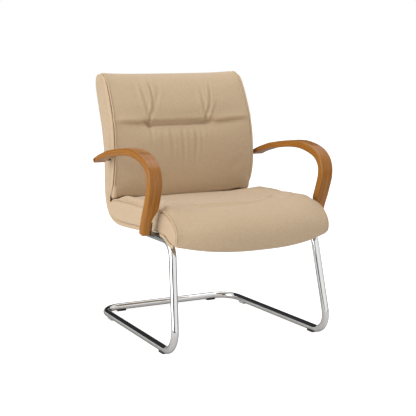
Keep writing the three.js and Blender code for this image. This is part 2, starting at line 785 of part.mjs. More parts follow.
// Side band, made of ribs across its width: flat against the shell and crowned outside
function sideBand() {
  const place = ([reachShare, riseShare]) => pair(
    bandFrontY + reachShare * bandReach, bandBottomZ + riseShare * bandRise);
  const seam = seatSeamShares.map(seatPlace).reverse();
  const inner = smoothPoints(bandInnerShares.map(place), bandSteps).map((point) => belowSeam(point, seam));
  const outer = smoothPoints(bandOuterShares.map(place), bandSteps);
  const ribs = inner.map((near, i) => {
    const far = outer[i];
    const at = (share, out) => {
      const point = near.clone().lerp(far, share);
      return new THREE.Vector3(
        bandX + bandFlareShare * flareAt(point.x, point.y) + out, point.x, point.y);
    };
    const [start, end] = crownShares;
    const top = bandThickness + bandCrown;
    return [at(0, 0), at(1, 0), at(1, bandThickness), at(end, top), at(start, top), at(0, bandThickness)];
  });
  return loft(ribs, (point) => pair(point.x, point.y + point.z));
}

// The seat's part of the band stays below the seat cushion's lower seam
function belowSeam(point, seam) {
  const i = seam.findIndex((corner) => corner.x > point.x);
  if (i < 1 || point.y > cushionZ) return point;
  const z = THREE.MathUtils.mapLinear(point.x, seam[i - 1].x, seam[i].x, seam[i - 1].y, seam[i].y);
  return pair(point.x, Math.min(point.y, z - softGap));
}

// Arms

const armCurve = new THREE.SplineCurve(armLineShares.map(([reachShare, riseShare]) => pair(
  armFrontY + reachShare * armReach, armBottomZ + riseShare * armRise)));

// Shares of the arm's length, closer together where the tip is rounded
function armStations(length) {
  const straightShare = 1 - armTipRound / length;
  const straight = Array.from({ length: armSteps + 1 }, (_, i) => (i / armSteps) * straightShare);
  const round = Array.from({ length: armTipSteps }, (_, i) => {
    const angle = (Math.PI / 2) * ((i + 1) / armTipSteps);
    return 1 - (armTipRound / length) * (1 - Math.sin(angle));
  });
  return [...straight, ...round];
}

// How far the arm's inner side is cut back at a height
function recessAt(z) {
  return footRecess * smoothShare(1 - (z - armBottomZ - footRecessRise) / footRecessFade);
}

function armRing(share, length) {
  const centre = armCurve.getPointAt(share);
  const along = armCurve.getTangentAt(share);
  const across = pair(along.y, -along.x);
  const taper = Math.max(share - armTaperShare, 0) / (1 - armTaperShare);
  const thickness = THREE.MathUtils.lerp(armBottomThickness, armTipThickness, taper);
  const left = Math.max(armTipRound - (1 - share) * length, 0);
  const inset = armTipRound - Math.sqrt(armTipRound * armTipRound - left * left);
  const halfThickness = thickness / 2 - inset;
  const halfWidth = armWidth / 2 - inset;
  const round = Math.min(armRound, halfThickness);
  const ring = [];
  for (let quarter = 0; quarter < 4; quarter += 1) {
    const sideX = quarter === 0 || quarter === 3 ? 1 : -1;
    const sideN = quarter < 2 ? 1 : -1;
    for (let i = 0; i <= armCornerSteps; i += 1) {
      const angle = (Math.PI / 2) * (quarter + i / armCornerSteps);
      const x = sideX * (halfWidth - round) + round * Math.cos(angle);
      const n = sideN * (halfThickness - round) + round * Math.sin(angle);
      const point = centre.clone().addScaledVector(across, n);
      const recess = sideX < 0 ? recessAt(point.y) : 0;
      ring.push(new THREE.Vector3(armInnerX + armWidth / 2 + x + recess, point.x, point.y));
    }
  }
  return ring;
}

const armLength = armCurve.getLength();
const armBolt = armCurve.getPointAt(1 - armBoltBackset / armLength);
const armFoot = armCurve.getPointAt(0);

// The middle line's y at a height of its lower part
function armYAt(z) {
  const points = armCurve.getPoints(armLineShares.length * armSteps);
  return points.find((point) => point.y >= z).x;
}

// Something that lies along X, moved to a place in the y-z plane
function at(geometry, { x: y, y: z }) {
  return geometry.translate(0, y, z);
}

function rightArm() {
  const body = loft(
    armStations(armLength).map((share) => armRing(share, armLength)),
    (point) => pair(point.x, point.y + point.z));
  const through = rod(armBoltDiameter + 2 * holeGap, armInnerX - overrun, armOuterX + overrun, 'x');
  const counterbore = rod(counterboreDiameter, armOuterX - counterboreDepth, armOuterX + overrun, 'x');
  const blind = armScrewPlaces().map((place) => at(
    rod(armScrewDiameter + 2 * holeGap, armInnerX - overrun, earOuterX + armScrewLength, 'x'), place));
  return cut(body, at(through, armBolt), at(counterbore, armBolt), ...blind);
}

// Brackets and fixings of the right side

function armScrewPlaces() {
  return armScrewRises.map((rise) => pair(armYAt(armBottomZ + rise), armBottomZ + rise));
}

const bushOuterX = armInnerX - seatGap;
const earOuterX = bushOuterX + footRecess;
const earInnerX = earOuterX - plateThickness;
const armPlateBolts = [-1, 1].map((side) => [
  armPlateInnerX + armPlateBoltInset, armFoot.x + (side * armPlateBoltSpread) / 2]);
const rearPlateBolts = [-1, 1].map((side) => [
  rearPlateX + (side * rearPlateBoltSpread) / 2, crossRailY - rearPlateFront + plateEdge]);
const shellBolts = [...armPlateBolts, ...rearPlateBolts];

function boltHoles(diameter, bolts, from, to) {
  return bolts.map(([x, y]) => rod(diameter + 2 * holeGap, from, to, 'z').translate(x, y, 0));
}

function plateHoles(bolts) {
  return boltHoles(shellBoltDiameter, bolts, plateZ - overrun, plateZ + plateThickness + overrun);
}

function armPlateBox(gap) {
  const half = armPlateWidth / 2 + gap;
  return block(
    armPlateInnerX - gap, earOuterX, armFoot.x - half, armFoot.x + half,
    plateZ - gap, plateZ + plateThickness + gap);
}

function rearPlateBox(gap) {
  const front = crossRailY - rearPlateFront;
  return block(
    rearPlateX - rearPlateWidth / 2 - gap, rearPlateX + rearPlateWidth / 2 + gap,
    front - gap, front + rearPlateReach + gap, plateZ - gap, plateZ + plateThickness + gap);
}

// The plates of both sides with a gap round them, to be cut out of the lining
function plateBoxes(gap) {
  const right = [armPlateBox(gap), rearPlateBox(gap)];
  return [...right, ...right.map((box) => mirrored(box))];
}

function armBracket() {
  const foot = armFoot.x;
  const topZ = plateZ + earHeight;
  const lean = armYAt(topZ) - foot;
  const half = earWidth / 2;
  const ear = slab([
    pair(foot - half, plateZ), pair(foot + half, plateZ), pair(foot + half + lean, topZ),
    pair(foot - half + lean, topZ)], earInnerX, earOuterX);
  const screwHoles = armScrewPlaces().map((place) => at(
    rod(armScrewDiameter + 2 * holeGap, earInnerX - overrun, earOuterX + overrun, 'x'), place));
  return cut(join(armPlateBox(0), ear), ...screwHoles, ...plateHoles(armPlateBolts));
}

function rearPlate() {
  return cut(rearPlateBox(0), ...plateHoles(rearPlateBolts));
}

// Rear face of the back bracket's flange, just clear of the plywood over the whole bracket
const bracketRearY = plyFaceAt(armBolt.y - bracketHeight / 2) - seatGap;

// The back bracket with a gap round it: its side plate, its flange on the plywood and its boss
function bracketPieces(gap) {
  const bottom = armBolt.y - bracketHeight / 2 - gap;
  const top = armBolt.y + bracketHeight / 2 + gap;
  const front = armBolt.x - bossDiameter / 2 - gap;
  const outside = coverHalfWidth + (gap > 0 ? overrun : 0);
  const rear = bracketRearY + (gap > 0 ? 2 * overrun : 0);
  const plate = block(bracketX - gap, outside, front, rear, bottom, top);
  const flange = block(
    coverHalfWidth - flangeWidth - gap, outside, bracketRearY - plateThickness - gap, rear, bottom, top);
  const boss = at(rod(bossDiameter + 2 * gap, bracketX - bossLength - gap, bracketX + overrun, 'x'), armBolt);
  return [plate, flange, boss];
}

const woodScrewPlaces = [-1, 1].map((side) => [
  coverHalfWidth - flangeWidth / 2, armBolt.y + (side * woodScrewSpread) / 2]);

function woodScrewHoles(diameter) {
  const from = bracketRearY - plateThickness - overrun;
  const to = bracketRearY + woodScrewLength;
  return woodScrewPlaces.map(([x, z]) => rod(diameter, from, to, 'y').translate(x, 0, z));
}

function backBracket() {
  const hole = at(rod(
    armBoltDiameter + 2 * holeGap, bracketX - bossLength - overrun, coverHalfWidth + overrun, 'x'), armBolt);
  return cut(join(...bracketPieces(0)), hole, ...woodScrewHoles(woodScrewDiameter + 2 * holeGap));
}

// Room for the brackets, and for their screws' heads, in the back cushion
function bracketRoom() {
  const headFront = bracketRearY - plateThickness - 2 * overrun - woodScrewHeadHeight;
  const heads = woodScrewPlaces.map(([x, z]) => (
    rod(woodScrewHead + 2 * holeGap, headFront, bracketRearY, 'y').translate(x, 0, z)));
  const right = [...bracketPieces(seatGap), ...heads];
  return [...right, ...right.map((piece) => mirrored(piece))];
}

function armBoltPiece() {
  const headFace = armOuterX - counterboreDepth + seatGap + armBoltHeadHeight;
  const shank = headFace - armBoltHeadHeight - (bracketX - bossLength);
  const bolt = headed(armBoltHead, armBoltHeadHeight, armBoltDiameter, shank, 'x');
  return at(bolt.rotateZ(Math.PI).translate(headFace, 0, 0), armBolt);
}

function bush() {
  const inner = armBoltDiameter / 2 + holeGap;
  const outer = bushDiameter / 2;
  return at(sleeve([[inner, bandX], [outer, bandX], [outer, bushOuterX], [inner, bushOuterX]], 'x'), armBolt);
}

function teeNut(x, y) {
  const inner = shellBoltDiameter / 2 + holeGap;
  const barrel = teeNutBarrel / 2;
  const flange = teeNutFlange / 2;
  const flangeZ = plyTopZ - teeNutFlangeThickness;
  const profile = [
    [inner, plyZ + seatGap], [barrel, plyZ + seatGap], [barrel, flangeZ], [flange, flangeZ],
    [flange, plyTopZ], [inner, plyTopZ]];
  return sleeve(profile, 'z').translate(x, y, 0);
}

function shellBolt(x, y) {
  const shank = plyTopZ - teeNutFlangeThickness - boltHeadZ - shellBoltHeadHeight;
  const bolt = headed(shellBoltHead, shellBoltHeadHeight, shellBoltDiameter, shank, 'z');
  return bolt.translate(x, y, boltHeadZ);
}

function plywoodShell() {
  const whole = slab(shellOutline(shellLine(), () => -plyThickness, () => 0), -plyHalfWidth, plyHalfWidth);
  const right = [
    ...boltHoles(teeNutBarrel, shellBolts, plyZ - overrun, plyTopZ + overrun),
    ...boltHoles(teeNutFlange, shellBolts, plyTopZ - teeNutFlangeThickness - seatGap, plyTopZ + overrun),
    ...woodScrewHoles(woodScrewDiameter + 2 * holeGap),
  ];
  return cut(whole, ...right, ...right.map((piece) => mirrored(piece)));
}

// The chair

const chair = new THREE.Group();

function add(name, geometry, material) {
  const bare = geometry.index ? geometry : mergeVertices(geometry);
  bare.computeVertexNormals();
  const mesh = new THREE.Mesh(bare, new THREE.MeshStandardMaterial(material));
  mesh.name = name;
  chair.add(mesh);
}

// A piece of the right side, and its mirror image on the left
function addPair(name, geometry, material) {
  add(`${name}_right`, geometry, material);
  add(`${name}_left`, mirrored(geometry), material);
}

const path = framePath();
const fatTube = tubeAlong(path, tubeRadius + seatGap, 0);
add('sled_frame', tubeAlong(path, tubeRadius, tubeRadius - tubeWall), materials.chrome);
const sleeveOuter = (tubeRadius - tubeWall) * Math.cos(Math.PI / boreSides) - seatGap;
add('frame_joint_sleeve', sleeve([
  [sleeveOuter - sleeveWall, -sleeveLength / 2], [sleeveOuter, -sleeveLength / 2],
  [sleeveOuter, sleeveLength / 2], [sleeveOuter - sleeveWall, sleeveLength / 2],
], 'x').translate(0, crossRailY, topRailZ), materials.steel);

addPair('front_glide', glide(railX(frontGlideY), frontGlideY, glideWidth, glideLength), materials.plastic);
addPair('side_glide', glide(railX(sideGlideY), sideGlideY, glideWidth, glideLength), materials.paleGlide);
addPair('rear_glide', glide(rearGlideX, rearRailY, glideLength, glideWidth), materials.plastic);

add('plywood_shell', plywoodShell(), materials.ply);
add('outer_cover', outerCover(), materials.fabric);

const seatFoamX = plyHalfWidth - foamInset;
add('seat_cover', cut(seatCushion(), seatCore(foamInset, seatFoamX, overrun)), materials.fabric);
add('seat_foam', seatCore(foamInset + seatGap, seatFoamX - seatGap, 0), materials.foam);
const backFoamX = coverHalfWidth - foamInset;
const backFoam = backCore(foamInset + seatGap, backFoamX - seatGap, 0);
const backHollow = backCore(foamInset, backFoamX, overrun);
const bushHole = at(rod(bushDiameter + 2 * holeGap, bandX - overrun, bushOuterX, 'x'), armBolt);
const bushHoles = [bushHole, mirrored(bushHole)];
add('back_cover', cut(backCushion(), backHollow, ...bracketRoom(), ...bushHoles), materials.fabric);
add('back_foam', cut(backFoam, ...bracketRoom()), materials.foam);

const band = cut(sideBand(), armPlateBox(seatGap), bushHole);
addPair('side_band', band, materials.fabric);
const seatRim = seatOutline(seatHalfWidth, seatSteps, false).upper;
const backRim = backOutline(coverHalfWidth, backSteps).upper;
const backRimX = (point) => coverHalfWidth + flareAt(point.x, point.y);
addPair('seat_welt', welt(seatRim, () => seatHalfWidth, seatWeltShares), materials.fabric);
addPair('back_welt', welt(backRim, backRimX, backWeltShares), materials.fabric);

addPair('arm', rightArm(), materials.wood);
addPair('arm_bracket', armBracket(), materials.steel);
addPair('back_bracket', backBracket(), materials.steel);
addPair('rear_plate', rearPlate(), materials.steel);
addPair('arm_bolt', armBoltPiece(), materials.steel);
addPair('arm_bush', bush(), materials.steel);
armScrewPlaces().forEach((place, i) => {
  const screw = headed(armScrewHead, armScrewHeadHeight, armScrewDiameter, armScrewLength - overrun, 'x');
  screw.translate(earInnerX - seatGap - armScrewHeadHeight, 0, 0);
  addPair(`arm_screw_${i + 1}`, at(screw, place), materials.zinc);
});
woodScrewPlaces.forEach(([x, z], i) => {
  const screw = headed(woodScrewHead, woodScrewHeadHeight, woodScrewDiameter, woodScrewLength, 'y');
  screw.translate(x, bracketRearY - plateThickness - seatGap - woodScrewHeadHeight, z);
  addPair(`bracket_screw_${i + 1}`, screw, materials.zinc);
});
shellBolts.forEach(([x, y], i) => {
  addPair(`shell_bolt_${i + 1}`, shellBolt(x, y), materials.zinc);
  addPair(`tee_nut_${i + 1}`, teeNut(x, y), materials.zinc);
});

export default chair;
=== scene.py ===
"""Looks of a sled base visitor chair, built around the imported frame.

Sizes in the classes are millimetres in the chair's own frame: +Z up, the sitter faces -Y, and the
chair is mirrored about X = 0. Meshes are turned into metres as they are made.
"""

import logging
import math
from dataclasses import dataclass, field
from enum import Enum
from typing import Callable, Sequence

import bmesh
import bpy
import numpy as np
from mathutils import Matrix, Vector
from mathutils.bvhtree import BVHTree


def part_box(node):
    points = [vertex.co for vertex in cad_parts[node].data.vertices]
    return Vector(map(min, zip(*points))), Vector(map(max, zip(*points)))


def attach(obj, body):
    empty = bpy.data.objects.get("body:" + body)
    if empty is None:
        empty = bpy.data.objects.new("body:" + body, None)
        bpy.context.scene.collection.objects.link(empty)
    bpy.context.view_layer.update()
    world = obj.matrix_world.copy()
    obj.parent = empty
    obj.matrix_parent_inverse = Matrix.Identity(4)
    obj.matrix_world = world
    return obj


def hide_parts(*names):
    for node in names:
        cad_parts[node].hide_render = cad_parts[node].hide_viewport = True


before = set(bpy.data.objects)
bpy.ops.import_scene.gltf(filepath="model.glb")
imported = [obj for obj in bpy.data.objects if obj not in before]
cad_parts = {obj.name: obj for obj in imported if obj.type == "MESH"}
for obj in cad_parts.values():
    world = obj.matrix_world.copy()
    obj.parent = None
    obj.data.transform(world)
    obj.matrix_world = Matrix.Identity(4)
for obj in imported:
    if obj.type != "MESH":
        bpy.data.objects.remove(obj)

LOG = logging.getLogger("visitor_chair")
MM = 0.001
BODY = "root"
Line = Sequence[Sequence[float]]
Pair = tuple[float, float]
Triple = tuple[float, float, float]
Piece = bpy.types.Object
Mesh = bpy.types.Mesh
Material = bpy.types.Material
Socket = bpy.types.NodeSocket
Holding = Callable[[np.ndarray, np.ndarray], np.ndarray]


class Side(Enum):
    """The chair's two hands, with the sign of X on each."""

    RIGHT = 1
    LEFT = -1

    @property
    def label(self) -> str:
        """The word that piece names end with."""
        return self.name.lower()


class Slot(Enum):
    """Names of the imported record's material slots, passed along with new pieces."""

    CHROME = "chrome"
    STEEL = "bracket_steel"
    ZINC = "zinc"
    BLACK_GLIDE = "glide_black"
    GREY_GLIDE = "glide_grey"
    WOOD = "arm_wood"
    FABRIC = "upholstery"


# Lines and fields


def spline(points: Line, steps: int) -> np.ndarray:
    """Runs a smooth curve through points.

    Args:
        points: The points, each of two or three numbers.
        steps: How many equal steps the curve's own measure is cut into.

    Returns:
        An array of steps + 1 points.
    """
    knots = np.asarray(points, float)
    last = len(knots) - 1
    share = np.linspace(0, last, steps + 1)
    at = np.minimum(share.astype(int), last - 1)
    t = (share - at)[:, None]
    before, start = knots[np.maximum(at - 1, 0)], knots[at]
    end, after = knots[at + 1], knots[np.minimum(at + 2, last)]
    v0, v1 = (end - before) / 2, (after - start) / 2
    return (
        (2 * start - 2 * end + v0 + v1) * t**3
        + (3 * end - 3 * start - 2 * v0 - v1) * t**2
        + v0 * t
        + start
    )


def arc_lengths(points: np.ndarray) -> np.ndarray:
    """Distance of each point from the first, along the line."""
    steps = np.linalg.norm(np.diff(points, axis=0), axis=1)
    return np.concatenate([[0.0], np.cumsum(steps)])


def evened(points: np.ndarray, count: int) -> np.ndarray:
    """Spaces a line's points evenly.

    Args:
        points: The line.
        count: How many points the new line has.

    Returns:
        The same line with points at equal distances along it.
    """
    lengths = arc_lengths(points)
    places = np.linspace(0, lengths[-1], count)
    return np.stack([np.interp(places, lengths, axis) for axis in points.T], axis=1)


def right_normals(points: np.ndarray) -> np.ndarray:
    """Finds the way to the right of an open flat line's run.

    Args:
        points: N points of two numbers.

    Returns:
        N unit normals.
    """
    along = np.gradient(points, axis=0)
    along /= np.maximum(np.linalg.norm(along, axis=1, keepdims=True), 1e-9)
    return np.stack([along[:, 1], -along[:, 0]], axis=1)


def offset(points: np.ndarray, distance: np.ndarray | float) -> np.ndarray:
    """A flat line moved to the right of its run by one distance or by one for each point."""
    amount = np.broadcast_to(np.asarray(distance, float), (len(points),))
    return points + right_normals(points) * amount[:, None]


def smooth_share(value: np.ndarray, low: float, high: float) -> np.ndarray:
    """0 before low, 1 after high, and a smooth rise between them."""
    t = np.clip((value - low) / (high - low), 0, 1)
    return t * t * (3 - 2 * t)


def bell(value: np.ndarray, middle: float, width: float) -> np.ndarray:
    """1 at the middle, falling to 1/e at a width from it."""
    return np.exp(-(((value - middle) / width) ** 2))


def nearest_on_line(
        points: np.ndarray, line: np.ndarray) -> tuple[np.ndarray, np.ndarray, np.ndarray]:
    """Finds the nearest place on a flat line for many points.

    Args:
        points: N points of two numbers.
        line: The line's own points.

    Returns:
        Distance, signed distance (positive on the left of the run), and distance along the line.
    """
    starts, ends = line[:-1], line[1:]
    spans = ends - starts
    squares = np.maximum((spans**2).sum(1), 1e-12)
    lengths = arc_lengths(line)
    best = np.full(len(points), np.inf)
    signed = np.zeros(len(points))
    along = np.zeros(len(points))
    for start, span, square, length in zip(starts, spans, squares, lengths):
        offset_to = points - start
        t = np.clip((offset_to @ span) / square, 0, 1)
        gap = offset_to - t[:, None] * span
        distance = np.hypot(gap[:, 0], gap[:, 1])
        nearer = distance < best
        side = np.where(span[0] * offset_to[:, 1] - span[1] * offset_to[:, 0] >= 0, 1.0, -1.0)
        best = np.where(nearer, distance, best)
        signed = np.where(nearer, side * distance, signed)
        along = np.where(nearer, length + t * math.sqrt(square), along)
    return best, signed, along


@dataclass(frozen=True)
class Fold:
    """A crease, or with a negative depth a ridge, pressed into a soft surface along a line."""

    line: Line
    depth: float
    width: float
    shoulder: float = 0.35
    start_fade: float = 0.1
    end_fade: float = 0.6

    def sink(self, points: np.ndarray) -> np.ndarray:
        """How far each point of the flat plane sinks.

        Args:
            points: N points of two numbers in the fold's plane.

        Returns:
            N distances, positive into the pad.
        """
        line = spline(self.line, 4 * len(self.line))
        distance, _, along = nearest_on_line(points, line)
        share = along / arc_lengths(line)[-1]
        strength = smooth_share(share, 0, max(self.start_fade, 1e-3))
        strength = strength * (1 - smooth_share(share, 1 - self.end_fade, 1))
        t = distance / self.width
        profile = bell(t, 0, 1) - self.shoulder * bell(t, 2, 0.9)
        return self.depth * strength * profile


# Meshes


def linked(name: str, mesh: Mesh) -> Piece:
    """Puts a mesh in the scene.

    Args:
        name: The object's name.
        mesh: Its mesh.

    Returns:
        The new object.
    """
    made = bpy.data.objects.new(name, mesh)
    bpy.context.scene.collection.objects.link(made)
    return made


def meshed(
        name: str, vertices: np.ndarray, faces: Sequence[Sequence[int]], sharp: float = 40.0) -> Piece:
    """Makes a piece from corners in millimetres.

    Args:
        name: The piece's name.
        vertices: Its corners.
        faces: Corner numbers of each face.
        sharp: Edges that turn by more degrees than this stay sharp.

    Returns:
        The new object, with faces pointing out.
    """
    mesh = bpy.data.meshes.new(name)
    mesh.from_pydata((np.asarray(vertices, float) * MM).tolist(), [], [list(f) for f in faces])
    made = linked(name, mesh)
    turn_out(mesh)
    soften(mesh, sharp)
    return made


def turn_out(mesh: Mesh, merge: float = 1e-6) -> None:
    """Merges doubled corners and points every face outwards.

    Args:
        mesh: The mesh.
        merge: Corners nearer than this, in metres, become one.
    """
    work = bmesh.new()
    work.from_mesh(mesh)
    bmesh.ops.remove_doubles(work, verts=work.verts, dist=merge)
    bmesh.ops.recalc_face_normals(work, faces=work.faces)
    work.to_mesh(mesh)
    work.free()


def soften(mesh: Mesh, sharp: float) -> None:
    """Shades a mesh smooth, apart from its sharp edges.

    Args:
        mesh: The mesh.
        sharp: Edges that turn by more degrees than this stay sharp.
    """
    mesh.polygons.foreach_set("use_smooth", [True] * len(mesh.polygons))
    mesh.set_sharp_from_angle(angle=math.radians(sharp))
    mesh.update()


def loft_parts(
        rings: np.ndarray, capped: bool = True,
        looped: bool = False) -> tuple[np.ndarray, list[list[int]]]:
    """Joins rings of equal count into a skin.

    Args:
        rings: R rings of N points.
        capped: Whether the end rings are closed by a face.
        looped: Whether the last ring joins the first.

    Returns:
        The corners and the faces.
    """
    count, around = rings.shape[:2]
    faces = []
    for r in range(count if looped else count - 1):
        near, far = r * around, ((r + 1) % count) * around
        for i in range(around):
            j = (i + 1) % around
            faces.append([near + i, near + j, far + j, far + i])
    if capped and not looped:
        faces.append(list(range(around))[::-1])
        faces.append(list(range((count - 1) * around, count * around)))
    return rings.reshape(-1, 3), faces


def tube_rings(path: np.ndarray, radius: np.ndarray | float, sides: int) -> np.ndarray:
    """Sweeps a round section along a path without twisting.

    Args:
        path: The tube's middle line.
        radius: Its radius, or one for each point.
        sides: Points round each ring.

    Returns:
        One ring for each point of the path.
    """
    tangents = np.gradient(path, axis=0)
    tangents /= np.linalg.norm(tangents, axis=1, keepdims=True)
    radii = np.broadcast_to(np.asarray(radius, float), (len(path),))
    across = np.cross(tangents[0], [0.0, 0.0, 1.0])
    if np.linalg.norm(across) < 1e-3:
        across = np.cross(tangents[0], [0.0, 1.0, 0.0])
    rings = []
    for place, tangent, size in zip(path, tangents, radii):
        across = across - tangent * (across @ tangent)
        across = across / np.linalg.norm(across)
        up = np.cross(across, tangent)
        angles = np.linspace(0, 2 * math.pi, sides, endpoint=False)[:, None]
        rings.append(place + size * (np.cos(angles) * across + np.sin(angles) * up))
    return np.array(rings)


def tube_length_map(made: Piece, path: np.ndarray, sides: int, radius: float) -> None:
    """Gives a swept cord a map in metres: along the path, and round it.

    Args:
        made: The cord, whose corners run ring by ring.
        path: Its middle line.
        sides: Points round each ring.
        radius: Its radius in millimetres.
    """
    lengths = arc_lengths(path) * MM
    layer = made.data.uv_layers.new(name="weave")
    around = 2 * math.pi * radius * MM
    values = []
    for polygon in made.data.polygons:
        corners = list(polygon.vertices)
        slots = [c % sides for c in corners]
        wraps = max(slots) - min(slots) > sides / 2
        for corner, slot in zip(corners, slots):
            turn = slot + sides if wraps and slot < sides / 2 else slot
            values += [lengths[min(corner // sides, len(lengths) - 1)], around * turn / sides]
    layer.data.foreach_set("uv", values)


def turned_parts(profile: Line, sides: int) -> tuple[np.ndarray, list[list[int]]]:
    """Turns a closed profile about Z.

    Args:
        profile: Pairs of radius and height; a radius of 0 closes on the axis.
        sides: Points round each ring.

    Returns:
        The corners and the faces.
    """
    angles = np.linspace(0, 2 * math.pi, sides, endpoint=False)
    rings = np.array([[(r * math.cos(a), r * math.sin(a), h) for a in angles] for r, h in profile])
    return loft_parts(rings, capped=False)


def converted(made: Piece) -> Piece:
    """Turns an object's modifiers into its plain mesh.

    Args:
        made: The object.

    Returns:
        The same object, without modifiers.
    """
    graph = bpy.context.evaluated_depsgraph_get()
    result = bpy.data.meshes.new_from_object(made.evaluated_get(graph))
    made.modifiers.clear()
    old, made.data = made.data, result
    bpy.data.meshes.remove(old)
    return made


def coordinates(mesh: Mesh) -> np.ndarray:
    """Reads the corners of a mesh.

    Args:
        mesh: The mesh.

    Returns:
        Their places in millimetres.
    """
    flat = np.empty(len(mesh.vertices) * 3)
    mesh.vertices.foreach_get("co", flat)
    return flat.reshape(-1, 3) / MM


def place_corners(mesh: Mesh, corners: np.ndarray) -> None:
    """Moves a mesh's corners to places in millimetres."""
    mesh.vertices.foreach_set("co", (corners * MM).ravel())
    mesh.update()


def corner_normals(mesh: Mesh) -> np.ndarray:
    """Reads the normals of a mesh at its corners.

    Args:
        mesh: The mesh.

    Returns:
        One unit vector for each corner.
    """
    flat = np.empty(len(mesh.vertices) * 3, dtype=np.float32)
    mesh.vertex_normals.foreach_get("vector", flat)
    return flat.reshape(-1, 3).astype(float)


def node_box(node: str) -> tuple[np.ndarray, np.ndarray]:
    """Lowest and highest corner of a CAD node, in millimetres."""
    low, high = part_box(node)
    return np.array(low) / MM, np.array(high) / MM


def cut_out(made: Piece, tool: Piece) -> None:
    """Takes a tool's volume out of a piece and deletes the tool.

    Args:
        made: The piece.
        tool: A closed form.
    """
    cut = made.modifiers.new("cut", "BOOLEAN")
    cut.operation = "DIFFERENCE"
    cut.solver = "EXACT"
    cut.object = tool
    converted(made)
    bpy.data.objects.remove(tool)


def cleared_tree(owner: bpy.types.ID) -> bpy.types.NodeTree:
    """Empties the node tree of a material or a world.

    Args:
        owner: The material or the world.

    Returns:
        Its tree.
    """
    owner.use_nodes = True
    owner.node_tree.nodes.clear()
    return owner.node_tree


def dress(made: Piece, material: Material, slot: Slot | None, *nodes: str) -> Piece:
    """Gives a piece its finish and its place on the frame.

    Args:
        made: The piece.
        material: Its finish.
        slot: The record's material slot, or None where it has none; not used.
        nodes: CAD nodes that it stands for.

    Returns:
        The same piece.
    """
    made.data.materials.clear()
    made.data.materials.append(material)
    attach(made, BODY)
    if nodes:
        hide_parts(*nodes)
    LOG.info("%s: %d faces", made.name, len(made.data.polygons))
    return made


def refined(node: str, name: str, bevel: float) -> Piece:
    """A copy of a CAD node with merged faces and broken edges.

    Args:
        node: The CAD node.
        name: The new piece's name.
        bevel: Width of the broken edges in millimetres.

    Returns:
        The new piece.
    """
    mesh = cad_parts[node].data.copy()
    work = bmesh.new()
    work.from_mesh(mesh)
    bmesh.ops.remove_doubles(work, verts=work.verts, dist=1e-5)
    bmesh.ops.dissolve_limit(
        work, angle_limit=math.radians(1.5), verts=work.verts, edges=work.edges, delimit={"NORMAL"})
    work.to_mesh(mesh)
    work.free()
    mesh.materials.clear()
    made = linked(name, mesh)
    edge = made.modifiers.new("broken_edges", "BEVEL")
    edge.width = bevel * MM
    edge.segments = 3
    edge.limit_method = "ANGLE"
    edge.angle_limit = math.radians(50)
    edge.use_clamp_overlap = True
    converted(made)
    soften(made.data, 32)
    return made


# Finishes


